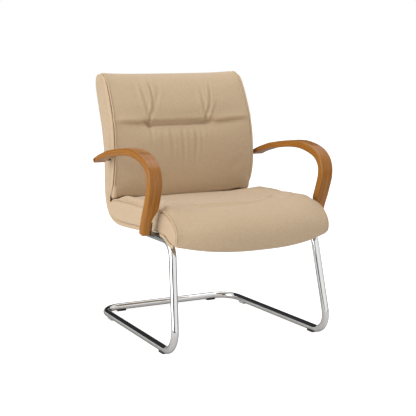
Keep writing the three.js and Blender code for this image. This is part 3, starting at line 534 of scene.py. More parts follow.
class NodeSheet:
    """The node tree of one finish, with short calls to add nodes and join them."""

    def __init__(self, name: str) -> None:
        """Starts a material with an empty tree, its shader and its output.

        Args:
            name: The material's name.
        """
        self.material = bpy.data.materials.new(name)
        self.tree = cleared_tree(self.material)
        self.shader = self.add("ShaderNodeBsdfPrincipled")
        output = self.add("ShaderNodeOutputMaterial")
        self.tree.links.new(self.shader.outputs[0], output.inputs["Surface"])

    def add(self, kind: str, **settings: object) -> bpy.types.Node:
        """Adds a node.

        Args:
            kind: Its type.
            settings: Its properties.

        Returns:
            The node.
        """
        node = self.tree.nodes.new(kind)
        for key, value in settings.items():
            setattr(node, key, value)
        return node

    def feed(self, socket: Socket, source: object) -> None:
        """Joins a source to a socket, or writes a plain value on it.

        Args:
            socket: The input.
            source: An output, or a value.
        """
        if isinstance(source, Socket):
            self.tree.links.new(source, socket)
        else:
            socket.default_value = source

    def set(self, **values: object) -> None:
        """Sets or feeds the shader's sockets, named with underscores for spaces."""
        for key, value in values.items():
            self.feed(self.shader.inputs[key.replace("_", " ")], value)

    def object_place(self) -> Socket:
        """The surface's place in the piece's own frame, in metres."""
        return self.add("ShaderNodeTexCoord").outputs["Object"]

    def surface_map(self, name: str) -> Socket:
        """The piece's own map of that name."""
        return self.add("ShaderNodeUVMap", uv_map=name).outputs["UV"]

    def attribute(self, name: str) -> Socket:
        """A vector attribute of the mesh."""
        return self.add("ShaderNodeAttribute", attribute_name=name).outputs["Vector"]

    def scaled(self, vector: Socket, scale: Sequence[float]) -> Socket:
        """Scales a vector.

        Args:
            vector: The vector.
            scale: A number for each of its parts.

        Returns:
            The scaled vector.
        """
        node = self.add("ShaderNodeMapping")
        self.feed(node.inputs["Vector"], vector)
        node.inputs["Scale"].default_value = tuple(scale)
        return node.outputs["Vector"]

    def parts(self, vector: Socket) -> tuple[Socket, ...]:
        """Takes a vector apart.

        Args:
            vector: The vector.

        Returns:
            Its three parts.
        """
        node = self.add("ShaderNodeSeparateXYZ")
        self.feed(node.inputs[0], vector)
        return tuple(node.outputs)

    def vector(self, x: object, y: object, z: object) -> Socket:
        """Makes a vector.

        Args:
            x: Its first part, as an output or a value.
            y: Its second part.
            z: Its third part.

        Returns:
            The vector.
        """
        node = self.add("ShaderNodeCombineXYZ")
        for socket, source in zip(node.inputs, (x, y, z)):
            self.feed(socket, source)
        return node.outputs[0]

    def math(self, operation: str, a: object, b: object = 0.0, c: object = 0.0) -> Socket:
        """Works out one sum.

        Args:
            operation: The sum's name.
            a: The first value, as an output or a number.
            b: The second value.
            c: The third value.

        Returns:
            The result.
        """
        node = self.add("ShaderNodeMath", operation=operation)
        for socket, source in zip(node.inputs, (a, b, c)):
            self.feed(socket, source)
        return node.outputs[0]

    def clouds(self, vector: Socket, scale: float, detail: float = 2.0, rough: float = 0.5) -> Socket:
        """Makes soft noise.

        Args:
            vector: Where it is read, in metres.
            scale: Clouds to a metre.
            detail: How many finer layers it has.
            rough: How strong those are.

        Returns:
            A value from 0 to 1.
        """
        node = self.add("ShaderNodeTexNoise")
        self.feed(node.inputs["Vector"], vector)
        node.inputs["Scale"].default_value = scale
        node.inputs["Detail"].default_value = detail
        node.inputs["Roughness"].default_value = rough
        return node.outputs["Fac"]

    def ranged(self, value: object, low: float, high: float, to_low: float, to_high: float) -> Socket:
        """Carries a value from one range to another and keeps it there.

        Args:
            value: The value.
            low: Start of its range.
            high: End of its range.
            to_low: Start of the new range.
            to_high: End of the new range.

        Returns:
            The new value.
        """
        node = self.add("ShaderNodeMapRange")
        for socket, source in zip(node.inputs, (value, low, high, to_low, to_high)):
            self.feed(socket, source)
        return node.outputs[0]

    def ramp(self, value: Socket, stops: Sequence[tuple[float, Triple]]) -> Socket:
        """Gives colours to a value from 0 to 1.

        Args:
            value: The value.
            stops: Places in its range, each with its colour.

        Returns:
            The colour.
        """
        node = self.add("ShaderNodeValToRGB")
        band = node.color_ramp
        while len(band.elements) < len(stops):
            band.elements.new(1.0)
        for element, (place, colour) in zip(band.elements, stops):
            element.position = place
            element.color = (*colour, 1.0)
        self.feed(node.inputs[0], value)
        return node.outputs[0]

    def mixed(self, share: object, a: object, b: object, blend: str = "MIX") -> Socket:
        """Mixes two colours.

        Args:
            share: How much of the second one there is.
            a: The first colour.
            b: The second colour.
            blend: How the second one is laid on.

        Returns:
            The mixed colour.
        """
        node = self.add("ShaderNodeMix", data_type="RGBA", blend_type=blend)
        self.feed(node.inputs["Factor"], share)
        colours = [socket for socket in node.inputs if socket.type == "RGBA"]
        for socket, source in zip(colours, (a, b)):
            self.feed(socket, source)
        return [socket for socket in node.outputs if socket.type == "RGBA"][0]

    def bumped(self, height: Socket, distance: float, below: object = None) -> Socket:
        """Tilts the normal by a height.

        Args:
            height: The height.
            distance: Metres for a height of 1.
            below: A normal that it is laid on.

        Returns:
            The tilted normal.
        """
        node = self.add("ShaderNodeBump")
        node.inputs["Distance"].default_value = distance
        self.feed(node.inputs["Height"], height)
        if below is not None:
            self.feed(node.inputs["Normal"], below)
        return node.outputs[0]


def paint(red: int, green: int, blue: int) -> Triple:
    """Turns a colour as a screen shows it into light.

    Args:
        red: Its red, 0 to 255.
        green: Its green.
        blue: Its blue.

    Returns:
        The colour's three parts as shares of light.
    """
    def light(value: int) -> float:
        """One channel."""
        share = value / 255
        return share / 12.92 if share <= 0.04045 else ((share + 0.055) / 1.055) ** 2.4
    return light(red), light(green), light(blue)


def shaded(colour: Triple, by: float) -> Triple:
    """A colour made lighter or darker by a factor."""
    return tuple(min(1.0, part * by) for part in colour)


@dataclass(frozen=True)
class WovenFabric:
    """Fine plain-weave upholstery cloth."""

    name: str = "tan_cloth"
    colour: Triple = paint(198, 174, 144)
    pitch: float = 1.3
    slub: float = 0.15
    mottle: float = 0.2
    patch: float = 0.12
    soil: float = 0.05
    thread: float = 0.035

    def build(self) -> Material:
        """Makes the material.

        Returns:
            Cloth whose threads follow the piece's weave map.
        """
        sheet = NodeSheet(self.name)
        weave = sheet.surface_map("weave")
        u, v, _ = sheet.parts(weave)
        turns = 2 * math.pi / (self.pitch * MM)
        warp = sheet.math("SINE", sheet.math("MULTIPLY", u, turns))
        weft = sheet.math("SINE", sheet.math("MULTIPLY", v, turns))
        threads = sheet.math("MULTIPLY", warp, weft)
        slub_u, slub_v = (
            sheet.clouds(sheet.scaled(weave, stretch), 1.0, 2.0)
            for stretch in ((55, 900, 1), (900, 55, 1)))
        slubs = sheet.math("ADD", slub_u, slub_v)
        place = sheet.object_place()
        mottle = sheet.clouds(place, 260.0, 3.0, 0.6)
        patches = sheet.clouds(place, 110.0, 2.0, 0.6)
        soil = sheet.clouds(place, 7.0, 2.0)
        tone = 1.0
        for noise, middle, amount in (
                (slubs, 1.0, self.slub), (mottle, 0.5, self.mottle), (patches, 0.5, self.patch),
                (soil, 0.5, self.soil), (threads, 0.0, self.thread)):
            tone = sheet.math("MULTIPLY_ADD", sheet.math("SUBTRACT", noise, middle), amount, tone)
        # Pointiness lightens the cloth on convex edges as rubbed wear, and darkens it in creases and
        # hollows as painted shade.
        wear_and_crease_shade = sheet.add("ShaderNodeNewGeometry").outputs["Pointiness"]
        tone = sheet.math("ADD", tone, sheet.ranged(wear_and_crease_shade, 0.47, 0.56, -0.05, 0.06))
        shades = sheet.ramp(sheet.ranged(tone, 0.8, 1.2, 0.0, 1.0), [
            (0.0, shaded(self.colour, 0.74)), (0.5, self.colour), (1.0, shaded(self.colour, 1.2))])
        relief = sheet.math("ADD", sheet.math("MULTIPLY", threads, 0.5), slubs)
        normal = sheet.bumped(mottle, 0.00035)
        sheet.set(
            Base_Color=shades, Roughness=sheet.ranged(mottle, 0.3, 0.7, 0.82, 0.95),
            Sheen_Weight=0.22, Sheen_Roughness=0.45, Sheen_Tint=(1.0, 0.95, 0.88, 1.0),
            Specular_IOR_Level=0.25, Normal=sheet.bumped(relief, 0.00012, normal))
        return sheet.material


@dataclass(frozen=True)
class LaminatedWood:
    """Bent laminated wood with a clear varnish; reads the band attribute (along, across, through)."""

    name: str = "honey_wood"
    light: Triple = paint(192, 131, 55)
    middle: Triple = paint(160, 102, 35)
    dark: Triple = paint(126, 74, 22)
    layer: float = 1.9
    glue: float = 0.84

    def build(self) -> Material:
        """Makes the material.

        Returns:
            Wood with grain along the arm and glue lines between its layers.
        """
        sheet = NodeSheet(self.name)
        along, across, through = sheet.parts(sheet.attribute("band"))
        count = sheet.math("DIVIDE", through, self.layer * MM)
        layer = sheet.math("FLOOR", count)
        seed = sheet.math("MULTIPLY", layer, 7.31)
        grain, figure, pores = (
            sheet.clouds(sheet.vector(
                sheet.math("MULTIPLY", along, length), sheet.math("MULTIPLY", across, width), seed),
                1.0, detail, rough)
            for length, width, detail, rough in (
                (7.0, 130.0, 6.0, 0.62), (3.0, 32.0, 3.0, 0.5), (90.0, 1900.0, 1.0, 0.5)))
        tone = sheet.math("MULTIPLY_ADD", grain, 0.6, sheet.math("MULTIPLY", figure, 0.4))
        shades = sheet.ramp(sheet.ranged(tone, 0.28, 0.72, 0.0, 1.0), [
            (0.0, self.dark), (0.45, self.middle), (1.0, self.light)])
        part = sheet.math("FRACT", count)
        inside = sheet.math("ABSOLUTE", sheet.math("SUBTRACT", part, 0.5))
        glue = sheet.ranged(sheet.math("LESS_THAN", inside, 0.44), 0.0, 1.0, self.glue, 1.0)
        pore = sheet.ranged(pores, 0.28, 0.4, 0.82, 1.0)
        depth = sheet.math("MULTIPLY", glue, pore)
        shades = sheet.mixed(1.0, shades, sheet.vector(depth, depth, depth), "MULTIPLY")
        sheet.set(
            Base_Color=shades, Roughness=sheet.ranged(grain, 0.3, 0.7, 0.36, 0.26),
            Coat_Weight=0.22, Coat_Roughness=0.14, Specular_IOR_Level=0.25,
            Normal=sheet.bumped(sheet.math("MULTIPLY_ADD", grain, 0.5, pores), 0.00008))
        return sheet.material


@dataclass(frozen=True)
class PolishedChrome:
    """Bright plated steel tube."""

    name: str = "tube_chrome"
    colour: Triple = (0.71, 0.71, 0.705)
    edge_tint: tuple[float, ...] = (0.4, 0.4, 0.38, 1.0)

    def build(self) -> Material:
        """Makes the material.

        Returns:
            Plated steel with faint hand marks and a soft dulling where it was bent.
        """
        sheet = NodeSheet(self.name)
        place = sheet.object_place()
        marks = sheet.clouds(place, 45.0, 4.0, 0.65)
        wipes = sheet.clouds(sheet.scaled(place, (20, 20, 160)), 1.0, 3.0)
        gloss = sheet.math("MULTIPLY", marks, wipes)
        sheet.set(
            Base_Color=sheet.ramp(marks, [(0.3, shaded(self.colour, 0.95)), (0.7, self.colour)]),
            Metallic=1.0, Specular_Tint=self.edge_tint,
            Roughness=sheet.ranged(gloss, 0.1, 0.5, 0.02, 0.05), Normal=sheet.bumped(wipes, 0.00002))
        return sheet.material


@dataclass(frozen=True)
class CoatedMetal:
    """Powder-coated or zinc-plated small steelwork."""

    name: str
    colour: Triple
    metallic: float
    roughness: float
    grain: float = 900.0
    relief: float = 0.00006

    def build(self) -> Material:
        """Makes the material.

        Returns:
            Steel with a fine orange-peel texture, rubbed lighter on its edges.
        """
        sheet = NodeSheet(self.name)
        place = sheet.object_place()
        peel = sheet.clouds(place, self.grain, 2.0)
        stain = sheet.clouds(place, 60.0, 3.0)
        pointed = sheet.add("ShaderNodeNewGeometry").outputs["Pointiness"]
        edge = sheet.ranged(pointed, 0.5, 0.62, 0.0, 1.0)
        tone = sheet.math("MULTIPLY_ADD", edge, 0.3, stain)
        sheet.set(
            Base_Color=sheet.ramp(tone, [
                (0.25, shaded(self.colour, 0.8)), (0.6, self.colour), (0.95, shaded(self.colour, 1.5))]),
            Metallic=self.metallic,
            Roughness=sheet.ranged(stain, 0.3, 0.7, self.roughness - 0.06, self.roughness + 0.06),
            Normal=sheet.bumped(peel, self.relief))
        return sheet.material


@dataclass(frozen=True)
class MouldedPlastic:
    """Moulded plastic with a fine spark-eroded texture."""

    name: str
    colour: Triple
    roughness: float = 0.45

    def build(self) -> Material:
        """Makes the material.

        Returns:
            Plastic with a fine grain and scuffs where it meets the floor.
        """
        sheet = NodeSheet(self.name)
        place = sheet.object_place()
        texture = sheet.clouds(place, 1400.0, 2.0)
        scuffs = sheet.clouds(sheet.scaled(place, (60, 60, 700)), 1.0, 4.0, 0.7)
        low = sheet.ranged(sheet.parts(place)[2], 0.0, 0.003, 1.0, 0.0)
        wear = sheet.math("MULTIPLY", low, scuffs)
        sheet.set(
            Base_Color=sheet.ramp(wear, [(0.2, self.colour), (0.8, shaded(self.colour, 1.6))]),
            Roughness=sheet.ranged(scuffs, 0.3, 0.7, self.roughness - 0.05, self.roughness + 0.12),
            Normal=sheet.bumped(texture, 0.00005))
        return sheet.material


@dataclass(frozen=True)
class RawPlywood:
    """Unfinished birch plywood with its plies showing through its thickness."""

    name: str = "birch_ply"
    colour: Triple = paint(205, 174, 128)
    ply: float = 1.4

    def build(self) -> Material:
        """Makes the material.

        Returns:
            Plywood with long grain and thin dark plies.
        """
        sheet = NodeSheet(self.name)
        place = sheet.object_place()
        grain = sheet.clouds(sheet.scaled(place, (9, 90, 90)), 1.0, 5.0)
        turns = math.pi / (self.ply * MM)
        plies = sheet.math("SINE", sheet.math("MULTIPLY", sheet.parts(place)[2], turns))
        tone = sheet.math("MULTIPLY_ADD", plies, 0.12, grain)
        sheet.set(
            Base_Color=sheet.ramp(tone, [
                (0.25, shaded(self.colour, 0.6)), (0.55, self.colour), (0.85, shaded(self.colour, 1.15))]),
            Roughness=sheet.ranged(grain, 0.3, 0.7, 0.6, 0.8), Normal=sheet.bumped(grain, 0.0001))
        return sheet.material


@dataclass(frozen=True)
class FeltedLining:
    """Thin non-woven dust cloth stapled under the seat."""

    name: str = "grey_lining"
    colour: Triple = paint(150, 146, 140)

    def build(self) -> Material:
        """Makes the material.

        Returns:
            Grey fibres pressed into a sheet, with small bonded dots.
        """
        sheet = NodeSheet(self.name)
        place = sheet.object_place()
        fibres = sheet.clouds(place, 700.0, 5.0, 0.75)
        dots = sheet.add("ShaderNodeTexVoronoi")
        sheet.feed(dots.inputs["Vector"], place)
        dots.inputs["Scale"].default_value = 420.0
        tone = sheet.math("MULTIPLY_ADD", dots.outputs["Distance"], 0.3, fibres)
        sheet.set(
            Base_Color=sheet.ramp(tone, [
                (0.3, shaded(self.colour, 0.7)), (0.8, shaded(self.colour, 1.15))]),
            Roughness=sheet.ranged(fibres, 0.2, 0.8, 0.85, 1.0), Normal=sheet.bumped(tone, 0.0002))
        return sheet.material


@dataclass(frozen=True)
class SewingThread:
    """Twisted polyester thread a shade darker than the cloth."""

    name: str = "tan_thread"
    colour: Triple = paint(176, 150, 118)

    def build(self) -> Material:
        """Makes the material.

        Returns:
            Thread with a soft sheen and a twist.
        """
        sheet = NodeSheet(self.name)
        place = sheet.object_place()
        twist = sheet.clouds(place, 2600.0, 2.0)
        sheet.set(
            Base_Color=sheet.ramp(twist, [
                (0.3, shaded(self.colour, 0.8)), (0.7, shaded(self.colour, 1.1))]),
            Roughness=sheet.ranged(twist, 0.3, 0.7, 0.45, 0.65), Sheen_Weight=0.2,
            Normal=sheet.bumped(twist, 0.0001))
        return sheet.material


@dataclass
class Finishes:
    """Every finish of the chair, made once."""

    fabric: Material = field(init=False)
    wood: Material = field(init=False)
    chrome: Material = field(init=False)
    steel: Material = field(init=False)
    zinc: Material = field(init=False)
    black: Material = field(init=False)
    grey: Material = field(init=False)
    ply: Material = field(init=False)
    lining: Material = field(init=False)
    thread: Material = field(init=False)

    def __post_init__(self) -> None:
        """Builds the materials."""
        self.fabric = WovenFabric().build()
        self.wood = LaminatedWood().build()
        self.chrome = PolishedChrome().build()
        self.steel = CoatedMetal("dark_steel", paint(84, 80, 76), 0.4, 0.4).build()
        self.zinc = CoatedMetal("bright_zinc", (0.58, 0.59, 0.6), 0.95, 0.3, 500.0, 0.00002).build()
        self.black = MouldedPlastic("black_plastic", paint(30, 30, 31)).build()
        self.grey = MouldedPlastic("pale_plastic", paint(176, 178, 180)).build()
        self.ply = RawPlywood().build()
        self.lining = FeltedLining().build()
        self.thread = SewingThread().build()


# Repeated pieces, made by Geometry Nodes


class NodeTree:
    """A geometry node tree with named inputs."""

    def __init__(self, name: str) -> None:
        """Starts a tree with a geometry input and output.

        Args:
            name: The tree's name.
        """
        self.group = bpy.data.node_groups.new(name, "GeometryNodeTree")
        self.group.interface.new_socket("Geometry", in_out="INPUT", socket_type="NodeSocketGeometry")
        self.group.interface.new_socket("Geometry", in_out="OUTPUT", socket_type="NodeSocketGeometry")
        self.sockets: dict[str, str] = {}
        self.entry = self.add("NodeGroupInput")
        self.exit = self.add("NodeGroupOutput")

    def add(self, kind: str, **settings: object) -> bpy.types.Node:
        """Adds a node.

        Args:
            kind: Its type.
            settings: Its properties.

        Returns:
            The node.
        """
        node = self.group.nodes.new(kind)
        for key, value in settings.items():
            setattr(node, key, value)
        return node

    def link(self, source: Socket, target: Socket) -> None:
        """Joins two sockets."""
        self.group.links.new(source, target)

    def input(self, name: str, kind: str) -> Socket:
        """Adds a named input.

        Args:
            name: Its name.
            kind: Its socket type.

        Returns:
            Its socket inside the tree.
        """
        made = self.group.interface.new_socket(name, in_out="INPUT", socket_type=kind)
        self.sockets[name] = made.identifier
        return self.entry.outputs[name]

    def finish(self, geometry: Socket, material: Socket) -> None:
        """Ends the tree: real geometry, with its material.

        Args:
            geometry: What the tree has made.
            material: The material's input.
        """
        real = self.add("GeometryNodeRealizeInstances")
        coat = self.add("GeometryNodeSetMaterial")
        self.link(geometry, real.inputs[0])
        self.link(real.outputs[0], coat.inputs["Geometry"])
        self.link(material, coat.inputs["Material"])
        self.link(coat.outputs[0], self.exit.inputs[0])

    def grow(self, base: Piece, **values: object) -> Piece:
        """Runs the tree on an object and keeps the plain mesh.

        Args:
            base: The object that carries the points or lines.
            values: The inputs, named with underscores for spaces.

        Returns:
            The same object with the grown mesh.
        """
        modifier = base.modifiers.new(self.group.name, "NODES")
        modifier.node_group = self.group
        for key, value in values.items():
            modifier[self.sockets[key.replace("_", " ")]] = value
        return converted(base)


class StitchTree(NodeTree):
    """Stitches laid end to end along a line."""

    def __init__(self) -> None:
        """Builds the tree: the line is cut to the pitch, and each place takes one stitch."""
        super().__init__("stitches")
        pitch = self.input("Pitch", "NodeSocketFloat")
        length = self.input("Stitch Length", "NodeSocketFloat")
        radius = self.input("Thread Radius", "NodeSocketFloat")
        material = self.input("Material", "NodeSocketMaterial")
        curve = self.add("GeometryNodeMeshToCurve")
        cuts = self.add("GeometryNodeResampleCurve", mode="LENGTH")
        stitch = self.add("GeometryNodeMeshUVSphere")
        stitch.inputs["Segments"].default_value = 6
        stitch.inputs["Rings"].default_value = 4
        stitch.inputs["Radius"].default_value = 1.0
        half = self.add("ShaderNodeMath", operation="MULTIPLY")
        half.inputs[1].default_value = 0.5
        size = self.add("ShaderNodeCombineXYZ")
        shape = self.add("GeometryNodeTransform")
        tangent = self.add("GeometryNodeInputTangent")
        turn = self.add("FunctionNodeAlignRotationToVector", axis="X")
        places = self.add("GeometryNodeInstanceOnPoints")
        self.link(self.entry.outputs["Geometry"], curve.inputs["Mesh"])
        self.link(curve.outputs[0], cuts.inputs["Curve"])
        self.link(pitch, cuts.inputs["Length"])
        self.link(length, half.inputs[0])
        self.link(half.outputs[0], size.inputs[0])
        self.link(radius, size.inputs[1])
        self.link(radius, size.inputs[2])
        self.link(stitch.outputs["Mesh"], shape.inputs["Geometry"])
        self.link(size.outputs[0], shape.inputs["Scale"])
        self.link(tangent.outputs[0], turn.inputs["Vector"])
        self.link(cuts.outputs[0], places.inputs["Points"])
        self.link(shape.outputs[0], places.inputs["Instance"])
        self.link(turn.outputs[0], places.inputs["Rotation"])
        self.finish(places.outputs[0], material)


class FastenerTree(NodeTree):
    """One kind of fastener set at points, all turned the same way."""

    def __init__(self) -> None:
        """Builds the tree: each point takes a copy of the fastener."""
        super().__init__("fasteners")
        pattern = self.input("Fastener", "NodeSocketObject")
        turn = self.input("Turn", "NodeSocketRotation")
        material = self.input("Material", "NodeSocketMaterial")
        info = self.add("GeometryNodeObjectInfo")
        places = self.add("GeometryNodeInstanceOnPoints")
        self.link(pattern, info.inputs["Object"])
        self.link(self.entry.outputs["Geometry"], places.inputs["Points"])
        self.link(info.outputs["Geometry"], places.inputs["Instance"])
        self.link(turn, places.inputs["Rotation"])
        self.finish(places.outputs[0], material)


@dataclass(frozen=True)
class ScrewForm:
    """A round-headed screw or bolt with a hexagon socket; its head faces down from the origin."""

    head: float
    height: float
    shank: float
    length: float
    socket: float
    sides: int = 36

    def build(self, name: str) -> Piece:
        """Makes the fastener.

        Args:
            name: Name of the pattern object.

        Returns:
            The pattern, standing on Z at the origin.
        """
        edge = self.height * 0.28
        radius = self.head / 2
        profile = [
            (radius - edge, 0), (radius - edge * 0.3, edge * 0.25), (radius, edge), (radius, self.height),
            (self.shank / 2, self.height), (self.shank / 2, self.height + self.length - 1),
            (self.shank / 2 - 0.8, self.height + self.length), (0, self.height + self.length)]
        corners, faces = turned_parts(profile, self.sides)
        inner = [(self.socket / 2, 0.0), (self.socket / 2, self.height * 0.6), (0, self.height * 0.6)]
        count = len(corners)
        rim = self.hexagon(inner[0][0], 0.0)
        well = self.hexagon(inner[1][0], inner[1][1])
        corners = np.concatenate([corners, rim, well, [[0, 0, inner[2][1]]]])
        for i in range(self.sides):
            j = (i + 1) % self.sides
            faces.append([i, j, count + j, count + i])
            faces.append([count + i, count + j, count + self.sides + j, count + self.sides + i])
            faces.append([count + self.sides + i, count + self.sides + j, count + 2 * self.sides])
        return meshed(name, corners, faces, 35)

    def hexagon(self, across: float, height: float) -> np.ndarray:
        """Draws a hexagon with as many points as the head has.

        Args:
            across: Distance from its middle to a corner.
            height: Its height.

        Returns:
            The outline.
        """
        angles = np.linspace(0, 2 * math.pi, self.sides, endpoint=False)
        within = (angles % (math.pi / 3)) - math.pi / 6
        radii = across * math.cos(math.pi / 6) / np.cos(within)
        level = np.full(self.sides, height)
        return np.stack([radii * np.cos(angles), radii * np.sin(angles), level], axis=1)


@dataclass
class Sewing:
    """Rows of stitches and sets of fasteners for the whole chair."""

    finishes: Finishes
    pitch: float = 4.2
    length: float = 3.4
    radius: float = 0.42
    stitches: StitchTree = field(init=False)
    fasteners: FastenerTree = field(init=False)

    def __post_init__(self) -> None:
        """Builds both trees."""
        self.stitches = StitchTree()
        self.fasteners = FastenerTree()

    def row(self, name: str, paths: Sequence[np.ndarray]) -> Piece:
        """Sews rows of stitches as one piece.

        Args:
            name: The piece's name.
            paths: Lines in millimetres.

        Returns:
            The stitches, dressed and riding on the frame.
        """
        corners = np.concatenate(paths)
        edges, first = [], 0
        for path in paths:
            edges += [(first + i, first + i + 1) for i in range(len(path) - 1)]
            first += len(path)
        mesh = bpy.data.meshes.new(name)
        mesh.from_pydata((corners * MM).tolist(), edges, [])
        made = linked(name, mesh)
        self.stitches.grow(
            made, Pitch=self.pitch * MM, Stitch_Length=self.length * MM,
            Thread_Radius=self.radius * MM, Material=self.finishes.thread)
        soften(made.data, 60)
        return dress(made, self.finishes.thread, None)

    def set_fasteners(
            self, name: str, form: ScrewForm, places: Line, turn: Triple, material: Material, slot: Slot,
            nodes: Sequence[str]) -> Piece:
        """Sets copies of one fastener at places.

        Args:
            name: The piece's name.
            form: The fastener.
            places: Where each one goes, in millimetres.
            turn: Turns about X, Y and Z in radians.
            material: Its finish.
            slot: The record's slot.
            nodes: CAD nodes that the set stands for.

        Returns:
            The set as one piece.
        """
        pattern = form.build(f"{name}_pattern")
        mesh = bpy.data.meshes.new(name)
        mesh.from_pydata((np.asarray(places, float) * MM).tolist(), [], [])
        made = linked(name, mesh)
        self.fasteners.grow(made, Fastener=pattern, Turn=turn, Material=material)
        bpy.data.objects.remove(pattern)
        soften(made.data, 35)
        return dress(made, material, slot, *nodes)


# Studio


@dataclass
class Studio:
    """Camera, floor, background and lamps."""

    place: Triple = (-1678.4, -3200.0, 976.9)
    heading: float = 27.57
    pitch: float = 8.84
    lens: float = 93.05
    sensor: float = 36.0
    bright_zone: Pair = (0.9, 1.8)
    floor_half: float = 9000.0
    bright_middle: Triple = (-0.15, -0.5, 0)
    floor_tone: float = 0.8
    far_tone: float = 0.3
    floor_glow: float = 0.68
    far_glow: float = 1.0
    soft_light: float = 0.82
    aim: Triple = (0, 0, 450.0)

    def build(self) -> None:
        """Sets the whole studio up."""
        bpy.context.scene.view_settings.view_transform = "Standard"
        self.add_camera()
        self.add_floor()
        self.add_world()
        self.add_lamps()
        self.add_cards()

    def add_camera(self) -> None:
        """Stands the camera at the photograph's viewing angle."""
        data = bpy.data.cameras.new("camera")
        data.lens = self.lens
        data.sensor_width = self.sensor
        data.clip_end = 50.0
        camera = bpy.data.objects.new("camera", data)
        camera.location = [part * MM for part in self.place]
        camera.rotation_euler = (math.radians(90 - self.pitch), 0, -math.radians(self.heading))
        bpy.context.scene.collection.objects.link(camera)
        bpy.context.scene.camera = camera

    def add_floor(self) -> None:
        """Lays a floor that keeps the chair's shadow and is white to the camera."""
        half = self.floor_half
        floor = meshed("floor", np.array([
            (-half, -half, 0), (half, -half, 0), (half, half, 0), (-half, half, 0)]), [(0, 1, 2, 3)])
        material = bpy.data.materials.new("white_floor")
        tree = cleared_tree(material)
        place = tree.nodes.new("ShaderNodeTexCoord")
        reach = tree.nodes.new("ShaderNodeVectorMath")
        reach.operation = "DISTANCE"
        reach.inputs[1].default_value = self.bright_middle
        paint_share = self.eased(tree, reach.outputs["Value"], self.floor_tone, self.far_tone)
        glow_share = self.eased(tree, reach.outputs["Value"], self.floor_glow, self.far_glow)
        diffuse = tree.nodes.new("ShaderNodeBsdfDiffuse")
        glow = tree.nodes.new("ShaderNodeEmission")
        glow.inputs["Color"].default_value = (1, 1, 1, 1)
        seen = tree.nodes.new("ShaderNodeLightPath")
        share = tree.nodes.new("ShaderNodeMath")
        share.operation = "MULTIPLY"
        total = tree.nodes.new("ShaderNodeAddShader")
        output = tree.nodes.new("ShaderNodeOutputMaterial")
        tree.links.new(place.outputs["Object"], reach.inputs[0])
        tree.links.new(paint_share, diffuse.inputs["Color"])
        tree.links.new(seen.outputs["Is Camera Ray"], share.inputs[0])
        tree.links.new(glow_share, share.inputs[1])
        tree.links.new(share.outputs[0], glow.inputs["Strength"])
        tree.links.new(diffuse.outputs[0], total.inputs[0])
        tree.links.new(glow.outputs[0], total.inputs[1])
        tree.links.new(total.outputs[0], output.inputs["Surface"])
        floor.data.materials.append(material)

    def eased(
            self, tree: bpy.types.NodeTree, reach: Socket, near: float,
            far: float) -> Socket:
        """Eases a value over the edge of the floor's bright zone.

        Args:
            tree: The floor's node tree.
            reach: Distance from the bright zone's middle.
            near: The value inside the zone.
            far: The value beyond it.

        Returns:
            The eased value.
        """
        node = tree.nodes.new("ShaderNodeMapRange")
        node.interpolation_type = "SMOOTHSTEP"
        for socket, value in zip(list(node.inputs)[1:], (*self.bright_zone, near, far)):
            socket.default_value = value
        tree.links.new(reach, node.inputs[0])
        return node.outputs[0]

    def add_world(self) -> None:
        """Surrounds the chair with soft light, and with white where the camera looks past it."""
        world = bpy.data.worlds.new("studio")
        bpy.context.scene.world = world
        tree = cleared_tree(world)
        soft = tree.nodes.new("ShaderNodeBackground")
        soft.inputs["Color"].default_value = (1.0, 0.99, 0.975, 1)
        soft.inputs["Strength"].default_value = self.soft_light
        white = tree.nodes.new("ShaderNodeBackground")
        white.inputs["Color"].default_value = (1, 1, 1, 1)
        white.inputs["Strength"].default_value = 1.0
        seen = tree.nodes.new("ShaderNodeLightPath")
        glossy = tree.nodes.new("ShaderNodeMath")
        glossy.operation = "MAXIMUM"
        either = tree.nodes.new("ShaderNodeMath")
        either.operation = "MAXIMUM"
        mix = tree.nodes.new("ShaderNodeMixShader")
        output = tree.nodes.new("ShaderNodeOutputWorld")
        tree.links.new(seen.outputs["Is Glossy Ray"], glossy.inputs[0])
        tree.links.new(seen.outputs["Is Transmission Ray"], glossy.inputs[1])
        tree.links.new(seen.outputs["Is Camera Ray"], either.inputs[0])
        tree.links.new(glossy.outputs[0], either.inputs[1])
        tree.links.new(either.outputs[0], mix.inputs[0])
        tree.links.new(soft.outputs[0], mix.inputs[1])
        tree.links.new(white.outputs[0], mix.inputs[2])
        tree.links.new(mix.outputs[0], output.inputs["Surface"])

    def add_lamps(self) -> None:
        """Hangs the soft boxes."""
        self.lamp("side_light", (-3300, -150, 1000), 2400, 65.0)
        self.lamp("top_light", (700, -100, 3000), 1800, 17.0)
        self.lamp("front_light", (800, -3300, 700), 1500, 3.0)

    def lamp(self, name: str, place: Triple, size: float, power: float) -> None:
        """Hangs one square soft box that faces the chair.

        Args:
            name: The lamp's name.
            place: Where it hangs, in millimetres.
            size: Its edge in millimetres.
            power: Its power in watts.
        """
        data = bpy.data.lights.new(name, "AREA")
        data.shape = "SQUARE"
        data.size = size * MM
        data.energy = power
        made = bpy.data.objects.new(name, data)
        made.location = [part * MM for part in place]
        way = Vector(self.aim) * MM - made.location
        made.rotation_euler = way.to_track_quat("-Z", "Y").to_euler()
        bpy.context.scene.collection.objects.link(made)

    def add_cards(self) -> None:
        """Stands cards that only the metal's reflections see."""
        dark = self.card_glow("dark_card", (0.045, 0.045, 0.05))
        pale = self.card_glow("white_card", (1.15, 1.15, 1.15))
        self.card("card_behind", dark, (-2600, 2600), (2800, 2600), (430, 2700))
        self.card("card_left", dark, (-1350, -800), (-870, -1260), (0, 1100))
        self.card("card_front", pale, (-250, -1500), (900, -1300), (0, 900))

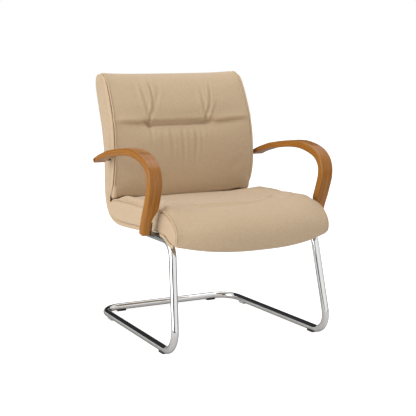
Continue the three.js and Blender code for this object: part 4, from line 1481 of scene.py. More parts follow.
    def card_glow(self, name: str, light: Triple) -> Material:
        """Makes a card's even light.

        Args:
            name: The material's name.
            light: Its light.

        Returns:
            The material.
        """
        material = bpy.data.materials.new(name)
        tree = cleared_tree(material)
        glow = tree.nodes.new("ShaderNodeEmission")
        glow.inputs["Color"].default_value = (*light, 1)
        output = tree.nodes.new("ShaderNodeOutputMaterial")
        tree.links.new(glow.outputs[0], output.inputs["Surface"])
        return material

    def card(self, name: str, material: Material, start: Pair, end: Pair, heights: Pair) -> None:
        """Stands one upright card.

        Args:
            name: The card's name.
            material: Its light.
            start: X and Y of one upright edge, in millimetres.
            end: X and Y of the other.
            heights: Its lower and upper edges.
        """
        low, high = heights
        corners = np.array([(*start, low), (*end, low), (*end, high), (*start, high)], float)
        card = meshed(name, corners, [(0, 1, 2, 3)])
        card.data.materials.append(material)
        card.visible_camera = card.visible_diffuse = False
        card.visible_shadow = card.visible_transmission = False


# Sled frame


@dataclass
class SledFrame:
    """The chromed tube that is legs, floor rails and seat rails in one."""

    finishes: Finishes
    diameter: float = 24.0
    sides: int = 32
    arc_steps: int = 22
    run_step: float = 45.0
    corners: Line = (
        (0.4, 0, 360), (259.5, 0, 360), (259.5, -242.4, 360), (282, -311.5, 16), (264.3, 349, 16))
    radii: Sequence[float] = (0, 60, 60, 66, 76)
    bead: float = 1.6
    bead_steps: int = 64
    bead_sides: int = 10
    ripples: int = 14

    def build(self) -> None:
        """Builds the tube and its weld."""
        path = self.path()
        rings = tube_rings(path, self.diameter / 2, self.sides)
        tube = meshed("sled_tube", *loft_parts(rings))
        dress(tube, self.finishes.chrome, Slot.CHROME, "sled_frame", "frame_joint_sleeve")
        self.add_joint()

    def path(self) -> np.ndarray:
        """Lays the tube's path.

        Returns:
            Its middle line, from the middle of the seat's cross run and round again.
        """
        half = [np.array(corner, float) for corner in self.corners]
        other = [corner * (-1, 1, 1) for corner in reversed(half)]
        corners = half + other
        radii = list(self.radii) + list(self.radii)[::-1]
        points = [corners[0]]
        for i in range(1, len(corners) - 1):
            points += self.bend(corners[i - 1], corners[i], corners[i + 1], radii[i])
        points.append(corners[-1])
        filled = [points[0]]
        for point in points[1:]:
            gap = np.linalg.norm(point - filled[-1])
            pieces = max(1, int(gap // self.run_step))
            start = filled[-1]
            filled += [start + (point - start) * (k + 1) / pieces for k in range(pieces)]
        return np.array(filled)

    def bend(
            self, before: np.ndarray, corner: np.ndarray, after: np.ndarray,
            radius: float) -> list[np.ndarray]:
        """Rounds one corner of the path.

        Args:
            before: The corner before it.
            corner: The corner.
            after: The corner after it.
            radius: The bend's radius.

        Returns:
            Points along the bend.
        """
        inward = (corner - before) / np.linalg.norm(corner - before)
        onward = (after - corner) / np.linalg.norm(after - corner)
        turn = math.acos(float(np.clip(inward @ onward, -1, 1)))
        start = corner - inward * radius * math.tan(turn / 2)
        centre_way = onward - inward * (inward @ onward)
        centre_way /= np.linalg.norm(centre_way)
        centre = start + centre_way * radius
        return [
            centre - centre_way * radius * math.cos(a) + inward * radius * math.sin(a)
            for a in np.linspace(0, turn, self.arc_steps + 1)]

    def add_joint(self) -> None:
        """Rings the tube's butt joint, under the seat, with a ground weld."""
        angles = np.linspace(0, 2 * math.pi, self.bead_steps, endpoint=False)
        radius = self.diameter / 2 + self.bead * 0.2
        ripple = 1 + 0.05 * np.sin(angles * self.ripples)
        middle, wide = np.array([0, 0, self.corners[0][2]]), np.array([1.6, 0, 0])
        rings = []
        for a, swell in zip(angles, ripple):
            out = np.array([0, math.cos(a), math.sin(a)])
            rings.append([
                middle + radius * out + self.bead * swell * (math.cos(t) * out * 0.5 + math.sin(t) * wide)
                for t in np.linspace(0, 2 * math.pi, self.bead_sides, endpoint=False)])
        weld = meshed("tube_weld", *loft_parts(np.array(rings), looped=True))
        dress(weld, self.finishes.chrome, Slot.CHROME)


@dataclass
class Glides:
    """Plastic saddles under the floor rails."""

    finishes: Finishes
    rail_z: float = 16.0
    tube: float = 24.0
    stations: int = 28
    clearance: float = 0.3
    end_inset: float = 2.4
    corner: float = 1.6

    def build(self) -> None:
        """Builds the six glides."""
        for side in Side:
            for kind, material, slot in (
                    ("front", self.finishes.black, Slot.BLACK_GLIDE),
                    ("side", self.finishes.grey, Slot.GREY_GLIDE),
                    ("rear", self.finishes.black, Slot.BLACK_GLIDE)):
                node = f"{kind}_glide_{side.label}"
                self.saddle(node, kind == "rear", material, slot)

    def saddle(self, node: str, across: bool, material: Material, slot: Slot) -> None:
        """Makes one saddle that fills its CAD node's box.

        Args:
            node: The CAD node.
            across: Whether its rail runs along X.
            material: Its finish.
            slot: The record's slot.
        """
        low, high = node_box(node)
        if across:
            low, high = low[[1, 0, 2]], high[[1, 0, 2]]
        middle, half = (low + high) / 2, (high - low) / 2
        hug = self.tube / 2 + self.clearance
        rings = []
        for share in np.sin(np.linspace(-math.pi / 2, math.pi / 2, self.stations)):
            ease = (1 - abs(share) ** 8) ** 0.5
            inset = self.end_inset * (1 - ease)
            width = half[0] - inset
            rings.append([
                (middle[0] + x, middle[1] + share * half[1], z)
                for x, z in self.section(width, high[2] - inset, inset * 0.5, hug)])
        rings = np.array(rings)
        if across:
            rings = rings[:, :, [1, 0, 2]]
        made = meshed(f"{node}_pad", *loft_parts(rings), 50)
        dress(made, material, slot, node)

    def section(self, width: float, top: float, bottom: float, hug: float) -> list[Pair]:
        """Draws the saddle's cross-section: a rounded tray with the tube's groove in its top.

        Args:
            width: Half its width.
            top: Height of its upper edges.
            bottom: Height of its foot.
            hug: The groove's radius.

        Returns:
            Places across and up, round the section.
        """
        corner = self.corner
        low = [(width - corner, bottom), (width - corner * 0.3, bottom + corner * 0.3),
               (width, bottom + corner), (width, top)]
        outer = [(-x, z) for x, z in low[::-1]] + low
        reach = min(width - 0.6, hug * 0.98)
        groove = []
        for x in np.linspace(reach, -reach, 13):
            z = self.rail_z - math.sqrt(max(hug * hug - x * x, 0.01))
            groove.append((x, min(z, top)))
        return outer + groove


# Arms


@dataclass
class ArmPair:
    """The two bent laminated arms, bored for the bolts at their tips."""

    finishes: Finishes
    inner_x: float = 290.0
    width: float = 45.0
    corner: float = 5.6
    front: float = -229.5
    reach: float = 455.0
    bottom: float = 377.0
    rise: float = 249.5
    thick_low: float = 27.0
    thick_tip: float = 17.0
    tip_round: float = 7.0
    foot_round: float = 3.0
    taper_start: float = 0.4
    stations: int = 150
    corner_steps: int = 7
    bolt_back: float = 15.0
    counterbore: float = 14.0
    bore_depth: float = 8.0
    chamfer: float = 1.2
    chamfer_depth: float = 0.7
    recess: float = 15.5
    recess_rise: float = 41.0
    recess_fade: float = 48.0
    line_shares: Line = (
        (0.134, 0), (0.122, 0.084), (0.089, 0.236), (0.057, 0.36), (0.021, 0.521), (0.005, 0.605),
        (0, 0.673), (0.001, 0.733), (0.014, 0.802), (0.041, 0.862), (0.08, 0.912), (0.131, 0.948),
        (0.197, 0.976), (0.296, 1), (0.395, 0.998), (0.471, 0.986), (0.571, 0.965), (0.664, 0.94),
        (0.736, 0.92), (0.811, 0.886), (0.886, 0.85), (0.946, 0.814), (1, 0.778))

    def line(self) -> np.ndarray:
        """The arm's middle line in the y-z plane, from its lower end to its tip."""
        knots = [(self.front + a * self.reach, self.bottom + b * self.rise) for a, b in self.line_shares]
        return evened(spline(knots, 600), 601)

    def build(self) -> None:
        """Builds both arms."""
        line = self.line()
        for side in Side:
            self.arm(side, line)

    def arm(self, side: Side, line: np.ndarray) -> None:
        """Builds one arm.

        Args:
            side: Its hand.
            line: The middle line.
        """
        total = arc_lengths(line)[-1]
        shares = self.ring_shares(total)
        rings = np.array([self.ring(line, share, total) for share in shares])
        rings[:, :, 0] *= side.value
        made = meshed(f"arm_{side.label}_wood", *loft_parts(rings), 50)
        self.bore(made, side, line, total)
        self.map_band(made.data, line)
        dress(made, self.finishes.wood, Slot.WOOD, f"arm_{side.label}")

    def ring_shares(self, total: float) -> np.ndarray:
        """Spaces the rings, close together at the arm's ends.

        Args:
            total: The arm's length.

        Returns:
            Shares of that length.
        """
        straight = np.linspace(self.foot_round / total, 1 - self.tip_round / total, self.stations)
        low = self.foot_round / total * (1 - np.cos(np.linspace(0, math.pi / 2, 6)))[:-1]
        tip = 1 - self.tip_round / total * (1 - np.sin(np.linspace(0, math.pi / 2, 10)[1:]))
        return np.concatenate([low, straight, tip])

    def ring(self, line: np.ndarray, share: float, total: float) -> list[Triple]:
        """Makes one rounded section of the arm, square to its line.

        Args:
            line: The middle line.
            share: Where on it the section stands.
            total: The line's length.

        Returns:
            The section's points.
        """
        at = share * (len(line) - 1)
        i = min(int(at), len(line) - 2)
        centre = line[i] + (line[i + 1] - line[i]) * (at - i)
        along = (line[i + 1] - line[i]) / np.linalg.norm(line[i + 1] - line[i])
        across = np.array([along[1], -along[0]])
        taper = max(share - self.taper_start, 0) / (1 - self.taper_start)
        thickness = self.thick_low + (self.thick_tip - self.thick_low) * taper
        left = max(self.tip_round - (1 - share) * total, 0)
        inset = self.tip_round - math.sqrt(max(self.tip_round**2 - left**2, 0))
        low = max(self.foot_round - share * total, 0)
        inset += self.foot_round - math.sqrt(max(self.foot_round**2 - low**2, 0))
        half_n, half_x = thickness / 2 - inset, self.width / 2 - inset
        radius = min(self.corner, half_n * 0.98)
        ring = []
        for quarter in range(4):
            side_x = 1 if quarter in (0, 3) else -1
            side_n = 1 if quarter < 2 else -1
            for step in range(self.corner_steps + 1):
                angle = math.pi / 2 * (quarter + step / self.corner_steps)
                x = side_x * (half_x - radius) + radius * math.cos(angle)
                n = side_n * (half_n - radius) + radius * math.sin(angle)
                place = centre + across * n
                ring.append((self.inner_x + self.width / 2 + x, place[0], place[1]))
            ring += self.flat_between(quarter, half_x, half_n, radius, centre, across)
        return [self.cut_back(place, half_x - radius) for place in ring]

    def cut_back(self, place: Triple, flat: float) -> Triple:
        """Moves a point of the foot's inner side outwards, which narrows the foot.

        Args:
            place: A point of a ring.
            flat: Half the width of the ring between its rounded corners.

        Returns:
            The point's new place.
        """
        x, y, z = place
        share = np.clip((self.inner_x + self.width / 2 + flat - x) / (2 * flat), 0, 1)
        top = self.bottom + self.recess_rise
        depth = self.recess * (1 - smooth_share(z, top, top + self.recess_fade))
        return x + float(depth * share), y, z

    def flat_between(
            self, quarter: int, half_x: float, half_n: float, radius: float, centre: np.ndarray,
            across: np.ndarray) -> list[Triple]:
        """Splits the flat after a rounded corner.

        Args:
            quarter: The corner's number.
            half_x: Half the section's width.
            half_n: Half its thickness.
            radius: The corner's radius.
            centre: The section's middle.
            across: The way through the arm's thickness.

        Returns:
            Two points on the flat.
        """
        points = []
        for share in (0.33, 0.67):
            if quarter % 2 == 0:
                side = 1 if quarter == 0 else -1
                x = side * (half_x - radius) * (1 - 2 * share)
                place = centre + across * half_n * side
                points.append((self.inner_x + self.width / 2 + x, place[0], place[1]))
            else:
                side = -1 if quarter == 1 else 1
                n = -side * (half_n - radius) * (1 - 2 * share)
                place = centre + across * n
                points.append((self.inner_x + self.width / 2 + side * half_x, place[0], place[1]))
        return points

    def bolt_place(self, line: np.ndarray, total: float) -> np.ndarray:
        """Where the tip's bolt goes through, in the y-z plane."""
        at = int(round((1 - self.bolt_back / total) * (len(line) - 1)))
        return line[at]

    def bore(self, made: Piece, side: Side, line: np.ndarray, total: float) -> None:
        """Bores the counterbore for the bolt's head into the arm's outer face.

        Args:
            made: The arm.
            side: Its hand.
            line: The middle line.
            total: The line's length.
        """
        y, z = self.bolt_place(line, total)
        outer = self.inner_x + self.width
        radius = self.counterbore / 2
        profile = [
            (0, -self.bore_depth), (radius, -self.bore_depth), (radius, -self.chamfer_depth),
            (radius + self.chamfer, 1.0), (0, 1.0)]
        corners, faces = turned_parts(profile, 48)
        outward = side.value * (outer + corners[:, 2])
        corners = np.stack([outward, y + corners[:, 0], z + corners[:, 1]], axis=1)
        tool = meshed("bore_tool", corners, faces)
        cut_out(made, tool)
        soften(made.data, 42)

    def map_band(self, mesh: Mesh, line: np.ndarray) -> None:
        """Stores each corner's place in the bent band: along it, across it and through it.

        Args:
            mesh: The arm's mesh.
            line: The middle line.
        """
        corners = coordinates(mesh)
        _, signed, along = nearest_on_line(corners[:, 1:], line[::4])
        band = np.stack([along, np.abs(corners[:, 0]) - self.inner_x, signed + 40.0], axis=1) * MM
        layer = mesh.attributes.new("band", "FLOAT_VECTOR", "POINT")
        layer.data.foreach_set("vector", band.ravel())


# Soft pieces


@dataclass(frozen=True)
class ShellForm:
    """Lines of the moulded plywood shell in the y-z plane."""

    under: float = 376.6
    thickness: float = 10.0
    front: float = -195.0
    bend_radius: float = 108.0
    bend_start: float = 180.0
    top_rise: float = 327.4
    top_setback: float = 70.0
    bend_steps: int = 26
    back_shares: Line = (
        (0, 0), (0.108, 0.014), (0.215, 0.021), (0.328, 0.071), (0.414, 0.143),
        (0.514, 0.257), (0.636, 0.414), (0.771, 0.643), (0.905, 0.871), (1, 1))

    def outer(self) -> np.ndarray:
        """Draws the outer face.

        Returns:
            Its line in the y-z plane, from the front edge to the top edge.
        """
        centre = (self.bend_start, self.under + self.bend_radius)
        angles = np.linspace(0, math.pi / 2, self.bend_steps + 1)
        bend = np.array(centre) + self.bend_radius * np.stack([np.sin(angles), -np.cos(angles)], axis=1)
        knots = [
            (centre[0] + self.bend_radius + setback * self.top_setback, centre[1] + rise * self.top_rise)
            for rise, setback in self.back_shares]
        return np.concatenate([[(self.front, self.under)], bend, spline(knots, 30)[1:]])

    def inner(self, gap: float) -> np.ndarray:
        """The face towards the sitter, kept a gap clear of it."""
        return offset(self.outer(), -self.thickness - gap)

    def top_at(self, y: np.ndarray, gap: float) -> np.ndarray:
        """Finds the face towards the sitter at places along the seat.

        Args:
            y: The places.
            gap: How far to keep above the face.

        Returns:
            Heights.
        """
        inner = self.bend_radius - self.thickness
        reach = np.clip(y - self.bend_start, 0, inner - 1)
        return self.under + self.bend_radius - np.sqrt(inner**2 - reach**2) + gap


@dataclass
class ClothPuff:
    """A cloth simulation that swells a closed pad between the lines that hold it."""

    voxel: float = 5.0
    pressure: float = 4.0
    frames: int = 20
    cap: float = 6.0
    start_inset: float = 3.0
    bending: float = 2.0
    evening: int = 14
    smoothing: int = 4
    quality: int = 4
    mass: float = 0.3
    stretch: float = 15.0
    shear: float = 5.0

    def run(self, made: Piece, held: Holding) -> Piece:
        """Remeshes a closed form, swells it and subdivides it once.

        Args:
            made: The closed form.
            held: Gives how firmly each corner is held, 0 to 1, from places and normals.

        Returns:
            The same object with its new mesh.
        """
        cells = made.modifiers.new("cells", "REMESH")
        cells.mode = "VOXEL"
        cells.voxel_size = self.voxel * MM
        ease = made.modifiers.new("ease", "SMOOTH")
        ease.factor = 0.5
        ease.iterations = self.smoothing
        converted(made)
        self.swell(made, held)
        rounder = made.modifiers.new("rounder", "SUBSURF")
        rounder.levels = rounder.render_levels = 1
        return converted(made)

    def swell(self, made: Piece, held: Holding) -> None:
        """Runs the cloth and keeps what it moved, within the cap.

        Args:
            made: The remeshed form.
            held: Gives how firmly each corner is held.
        """
        scene = bpy.context.scene
        start = coordinates(made.data)
        normals = corner_normals(made.data)
        firm = np.clip(held(start, normals), 0, 1)
        begin = start - normals * (self.start_inset * (1 - firm))[:, None]
        place_corners(made.data, begin)
        group = made.vertex_groups.new(name="held")
        for level in np.unique(np.round(firm, 1)):
            members = np.nonzero(np.round(firm, 1) == level)[0]
            group.add(members.tolist(), float(level), "REPLACE")
        cloth = made.modifiers.new("cloth", "CLOTH")
        settings = cloth.settings
        settings.quality = self.quality
        settings.mass = self.mass
        settings.tension_stiffness = settings.compression_stiffness = self.stretch
        settings.shear_stiffness = self.shear
        settings.bending_stiffness = self.bending
        settings.use_pressure = True
        settings.uniform_pressure_force = self.pressure
        settings.vertex_group_mass = "held"
        settings.effector_weights.gravity = 0
        cloth.collision_settings.use_collision = False
        cloth.point_cache.frame_start = 1
        cloth.point_cache.frame_end = self.frames
        for number in range(1, self.frames + 1):
            scene.frame_set(number)
        converted(made)
        scene.frame_set(1)
        moved = self.evened_out(made.data, coordinates(made.data) - start)
        reach = np.linalg.norm(moved, axis=1)
        limit = np.minimum(1, self.cap * (1 - 0.9 * firm) / np.maximum(reach, 1e-6))
        place_corners(made.data, start + moved * limit[:, None])

    def evened_out(self, mesh: Mesh, values: np.ndarray) -> np.ndarray:
        """Averages a value at each corner with its neighbours' several times.

        Args:
            mesh: The mesh.
            values: The values, one row for each corner.

        Returns:
            The evened values.
        """
        ends = np.empty(len(mesh.edges) * 2, dtype=np.int64)
        mesh.edges.foreach_get("vertices", ends)
        near, far = ends[0::2], ends[1::2]
        count = len(values)
        joined = np.maximum(np.bincount(ends, minlength=count), 1)[:, None]
        for _ in range(self.evening):
            total = np.stack([
                np.bincount(near, weights=axis[far], minlength=count)
                + np.bincount(far, weights=axis[near], minlength=count) for axis in values.T], axis=1)
            values = 0.5 * values + 0.5 * total / joined
        return values


def map_weave(mesh: Mesh, profile: np.ndarray, side_turn: float = 0.72) -> None:
    """Lays a map in metres on a pad: across the chair and along its profile, or flat on its sides.

    Args:
        mesh: The pad.
        profile: Its outline in the y-z plane.
        side_turn: Faces that look sideways by more than this take the side's flat map.
    """
    corners = coordinates(mesh)
    _, _, along = nearest_on_line(corners[:, 1:], profile)
    count = len(mesh.loops)
    index = np.empty(count, dtype=np.int64)
    mesh.loops.foreach_get("vertex_index", index)
    totals = np.empty(len(mesh.polygons), dtype=np.int64)
    mesh.polygons.foreach_get("loop_total", totals)
    normals = np.empty(len(mesh.polygons) * 3)
    mesh.polygons.foreach_get("normal", normals)
    sideways = np.repeat(np.abs(normals.reshape(-1, 3)[:, 0]) > side_turn, totals)
    u = np.where(sideways, corners[index, 1], corners[index, 0])
    v = np.where(sideways, corners[index, 2], along[index])
    layer = mesh.uv_layers.new(name="weave")
    layer.data.foreach_set("uv", (np.stack([u, v], axis=1) * MM).ravel())


def rim_distance(corners: np.ndarray, rim: np.ndarray, width: np.ndarray | float) -> np.ndarray:
    """Measures how far a cushion's corners lie from its rim.

    Args:
        corners: The corners.
        rim: The rim's line in the y-z plane.
        width: How far from the middle the rim lies, at all corners or at each.

    Returns:
        Distances, in which a step along X counts a little less.
    """
    beside, _, _ = nearest_on_line(corners[:, 1:], rim)
    return np.hypot(beside, np.maximum(width - np.abs(corners[:, 0]), 0) * 0.9)


@dataclass
class SeatCushion:
    """The padded seat with its waterfall front."""

    finishes: Finishes
    shell: ShellForm
    half_width: float = 278.0
    over_ply: float = 258.3
    front: float = -366.0
    depth: float = 600.0
    lip: float = 327.0
    thickness: float = 135.0
    power: float = 2.6
    puff: float = 3.0
    groove: float = 3.4
    groove_width: float = 5.5
    rim_ripple: float = 0.35
    slack: float = 0.7
    edge_rings: Pair = (265.0, 272.0)
    steps: int = 96
    shoulder_rise: float = 20.0
    shoulder_across: Pair = (0.48, 0.945)
    shoulder_front: Pair = (0.06, 0.3)
    shoulder_rear: Pair = (0.777, 0.952)
    shoulder_left: float = 0.05
    shoulder_foot: float = 0.62
    middle_shares: Line = (
        (0.283, 0.348), (0.223, 0.165), (0.143, 0.012), (0.073, -0.044), (0.027, 0.006), (0.003, 0.165),
        (0, 0.407), (0.023, 0.63), (0.077, 0.822), (0.16, 0.948), (0.252, 0.993), (0.327, 0.933),
        (0.41, 0.911), (0.56, 0.889), (0.743, 0.859), (0.877, 0.839), (0.965, 0.83), (0.998, 0.74),
        (0.993, 0.57))
    side_shares: Line = (
        (0.28, 0.37), (0.228, 0.345), (0.185, 0.257), (0.147, 0.196), (0.115, 0.197), (0.098, 0.298),
        (0.094, 0.457), (0.109, 0.606), (0.149, 0.762), (0.222, 0.888), (0.316, 0.926), (0.432, 0.911),
        (0.54, 0.892), (0.66, 0.884), (0.785, 0.866), (0.893, 0.836), (0.962, 0.772), (0.993, 0.66),
        (0.997, 0.519))
    seam_shares: Line = (
        (0.977, 0.407), (0.91, 0.333), (0.827, 0.326), (0.727, 0.341), (0.593, 0.374), (0.422, 0.393),
        (0.343, 0.396), (0.285, 0.385))
    under_shares: Sequence[float] = (0.963, 0.9, 0.827, 0.727, 0.593, 0.422, 0.343)
    folds: Sequence[Fold] = (
        Fold(((-205, -100), (-174, -153), (-130, -200), (-58, -214), (25, -210), (119, -165), (190, -95),
              (224, -55)), 12.0, 8.5, 0.35, 0.25, 0.35),
        Fold(((-160, -120), (-120, -165), (-55, -186), (25, -182), (112, -138), (170, -85)),
             3.5, 20.0, 0.0, 0.3, 0.4),
        Fold(((-120, 150), (-60, 120), (10, 128)), 1.2, 16.0, 0.3, 0.4, 0.5),
        Fold(((150, 120), (190, 60), (205, 10)), 1.3, 14.0, 0.3, 0.4, 0.5),
        Fold(((-215, 60), (-205, 0), (-175, -60)), 1.3, 14.0, 0.3, 0.4, 0.5),
    )

    def place(self, shares: Line) -> np.ndarray:
        """Points of the seat from shares of its depth and thickness."""
        return np.array((self.front, self.lip)) + np.asarray(shares, float) * (self.depth, self.thickness)

    def upper(self, x: float) -> np.ndarray:
        """Draws the upper part of the seat's outline.

        Args:
            x: Where across the seat.

        Returns:
            Its line from the lip's rear, round the front and over the top.
        """
        share = 1 - (abs(x) / self.half_width) ** self.power
        side, middle = self.place(self.side_shares), self.place(self.middle_shares)
        line = spline(side + (middle - side) * share, self.steps)
        line[:, 1] += self.shoulder(x, line)
        return line

    def shoulder(self, x: float, points: np.ndarray) -> np.ndarray:
        """Works out how far the top stands up beside the rims.

        Args:
            x: Where across the seat.
            points: Points of the outline there.

        Returns:
            The rise of each point.
        """
        across = abs(x) / self.half_width
        start, peak = self.shoulder_across
        side = smooth_share(across, start, peak) - smooth_share(across, peak, 1)
        along = (points[:, 0] - self.front) / self.depth
        up = (points[:, 1] - self.lip) / self.thickness
        front = smooth_share(along, *self.shoulder_front)
        rear = 1 - (1 - self.shoulder_left) * smooth_share(along, *self.shoulder_rear)
        top = smooth_share(up, self.shoulder_foot, 0.4 * self.shoulder_foot + 0.6)
        return self.shoulder_rise * side * front * rear * top

    def outline(self, x: float) -> np.ndarray:
        """Draws the seat's closed outline.

        Args:
            x: Where across the seat.

        Returns:
            The outline in the y-z plane.
        """
        upper = self.upper(x)
        if abs(x) > self.over_ply:
            return np.concatenate([upper, self.place(self.seam_shares)])
        y = np.array([self.front + share * self.depth for share in self.under_shares])
        gap = np.where(y > self.shell.bend_start, 1.2, 0.6)
        under = np.stack([y, self.shell.top_at(y, gap)], axis=1)
        floor = self.shell.top_at(upper[:, 0], 1.2)
        rear = upper[:, 0] > self.shell.bend_start
        upper[rear, 1] = np.maximum(upper[rear, 1], floor[rear])
        edge = np.array([[self.shell.front - 0.6, self.shell.under + self.shell.thickness + 0.6]])
        return np.concatenate([upper, under, edge])

    def rings(self) -> np.ndarray:
        """Makes the seat's rings, with the sides swelling out past their seams.

        Returns:
            The rings from side to side.
        """
        inner = self.over_ply * np.sin(np.linspace(0, math.pi / 2, 26))
        half = [np.insert(self.outline(x), 0, x, axis=1) for x in inner]
        for x in (self.over_ply + 0.3, *self.edge_rings):
            half.append(np.insert(self.outline(x), 0, x, axis=1))
        rim = self.outline(self.half_width)
        spine_y = np.clip(rim[:, 0], self.front + 0.2 * self.depth, self.front + 0.93 * self.depth)
        spine = np.stack([spine_y, np.full(len(rim), self.lip + 0.6 * self.thickness)], axis=1)
        for angle in np.linspace(0, math.pi / 2, 9):
            draw = 0.9 * (1 - math.cos(angle)) ** 1.3
            ring = rim + (spine - rim) * draw
            half.append(np.insert(ring, 0, self.half_width + self.puff * math.sin(angle), axis=1))
        other = [ring * (-1, 1, 1) for ring in half[1:]]
        return np.array(other[::-1] + half)

    def held(self, corners: np.ndarray, normals: np.ndarray) -> np.ndarray:
        """Holds the cover on the shell, along the rims and at the rear.

        Args:
            corners: The pad's corners.
            normals: Its normals there.

        Returns:
            How firmly each corner is held, 0 to 1.
        """
        rim = self.outline(self.half_width)
        distance, _, _ = nearest_on_line(corners[:, 1:], rim)
        edge = (1 - smooth_share(distance, 3, 14)) * smooth_share(np.abs(corners[:, 0]), 262, 275)
        under = smooth_share(-normals[:, 2], 0.1, 0.5) * smooth_share(corners[:, 1], -300, -250)
        rear = smooth_share(corners[:, 1], 150, 205)
        wall = smooth_share(np.abs(corners[:, 0]), 276, 279) * 0.9
        return np.maximum.reduce([edge, under, rear, wall])

    def sculpt(self, mesh: Mesh) -> None:
        """Presses the seams, the long smile crease and small slack into the cover.

        Args:
            mesh: The pad's mesh.
        """
        corners, normals = coordinates(mesh), corner_normals(mesh)
        top = smooth_share(normals[:, 2], 0.35, 0.75)
        sink = sum(fold.sink(corners[:, :2]) for fold in self.folds) * top
        near = rim_distance(corners, self.upper(self.half_width), self.half_width)
        sink += self.groove * bell(near, 0, self.groove_width)
        ripple = np.sin(corners[:, 1] / 11.5 + 1.7 * np.sin(corners[:, 1] / 47.0))
        sink += self.rim_ripple * ripple * bell(near, 14, 11) * (near > 4)
        slack = np.sin(corners[:, 0] / 61 + 0.8) * np.sin(corners[:, 1] / 53 + 0.3)
        sink += self.slack * slack * top
        place_corners(mesh, corners - normals * sink[:, None])

    def build(self) -> None:
        """Builds the cushion."""
        made = meshed("seat_cushion", *loft_parts(self.rings()))
        ClothPuff(cap=5.0, start_inset=2.5).run(made, self.held)
        self.sculpt(made.data)
        map_weave(made.data, self.outline(0))
        soften(made.data, 75)
        dress(made, self.finishes.fabric, Slot.FABRIC, "seat_cover", "seat_foam")


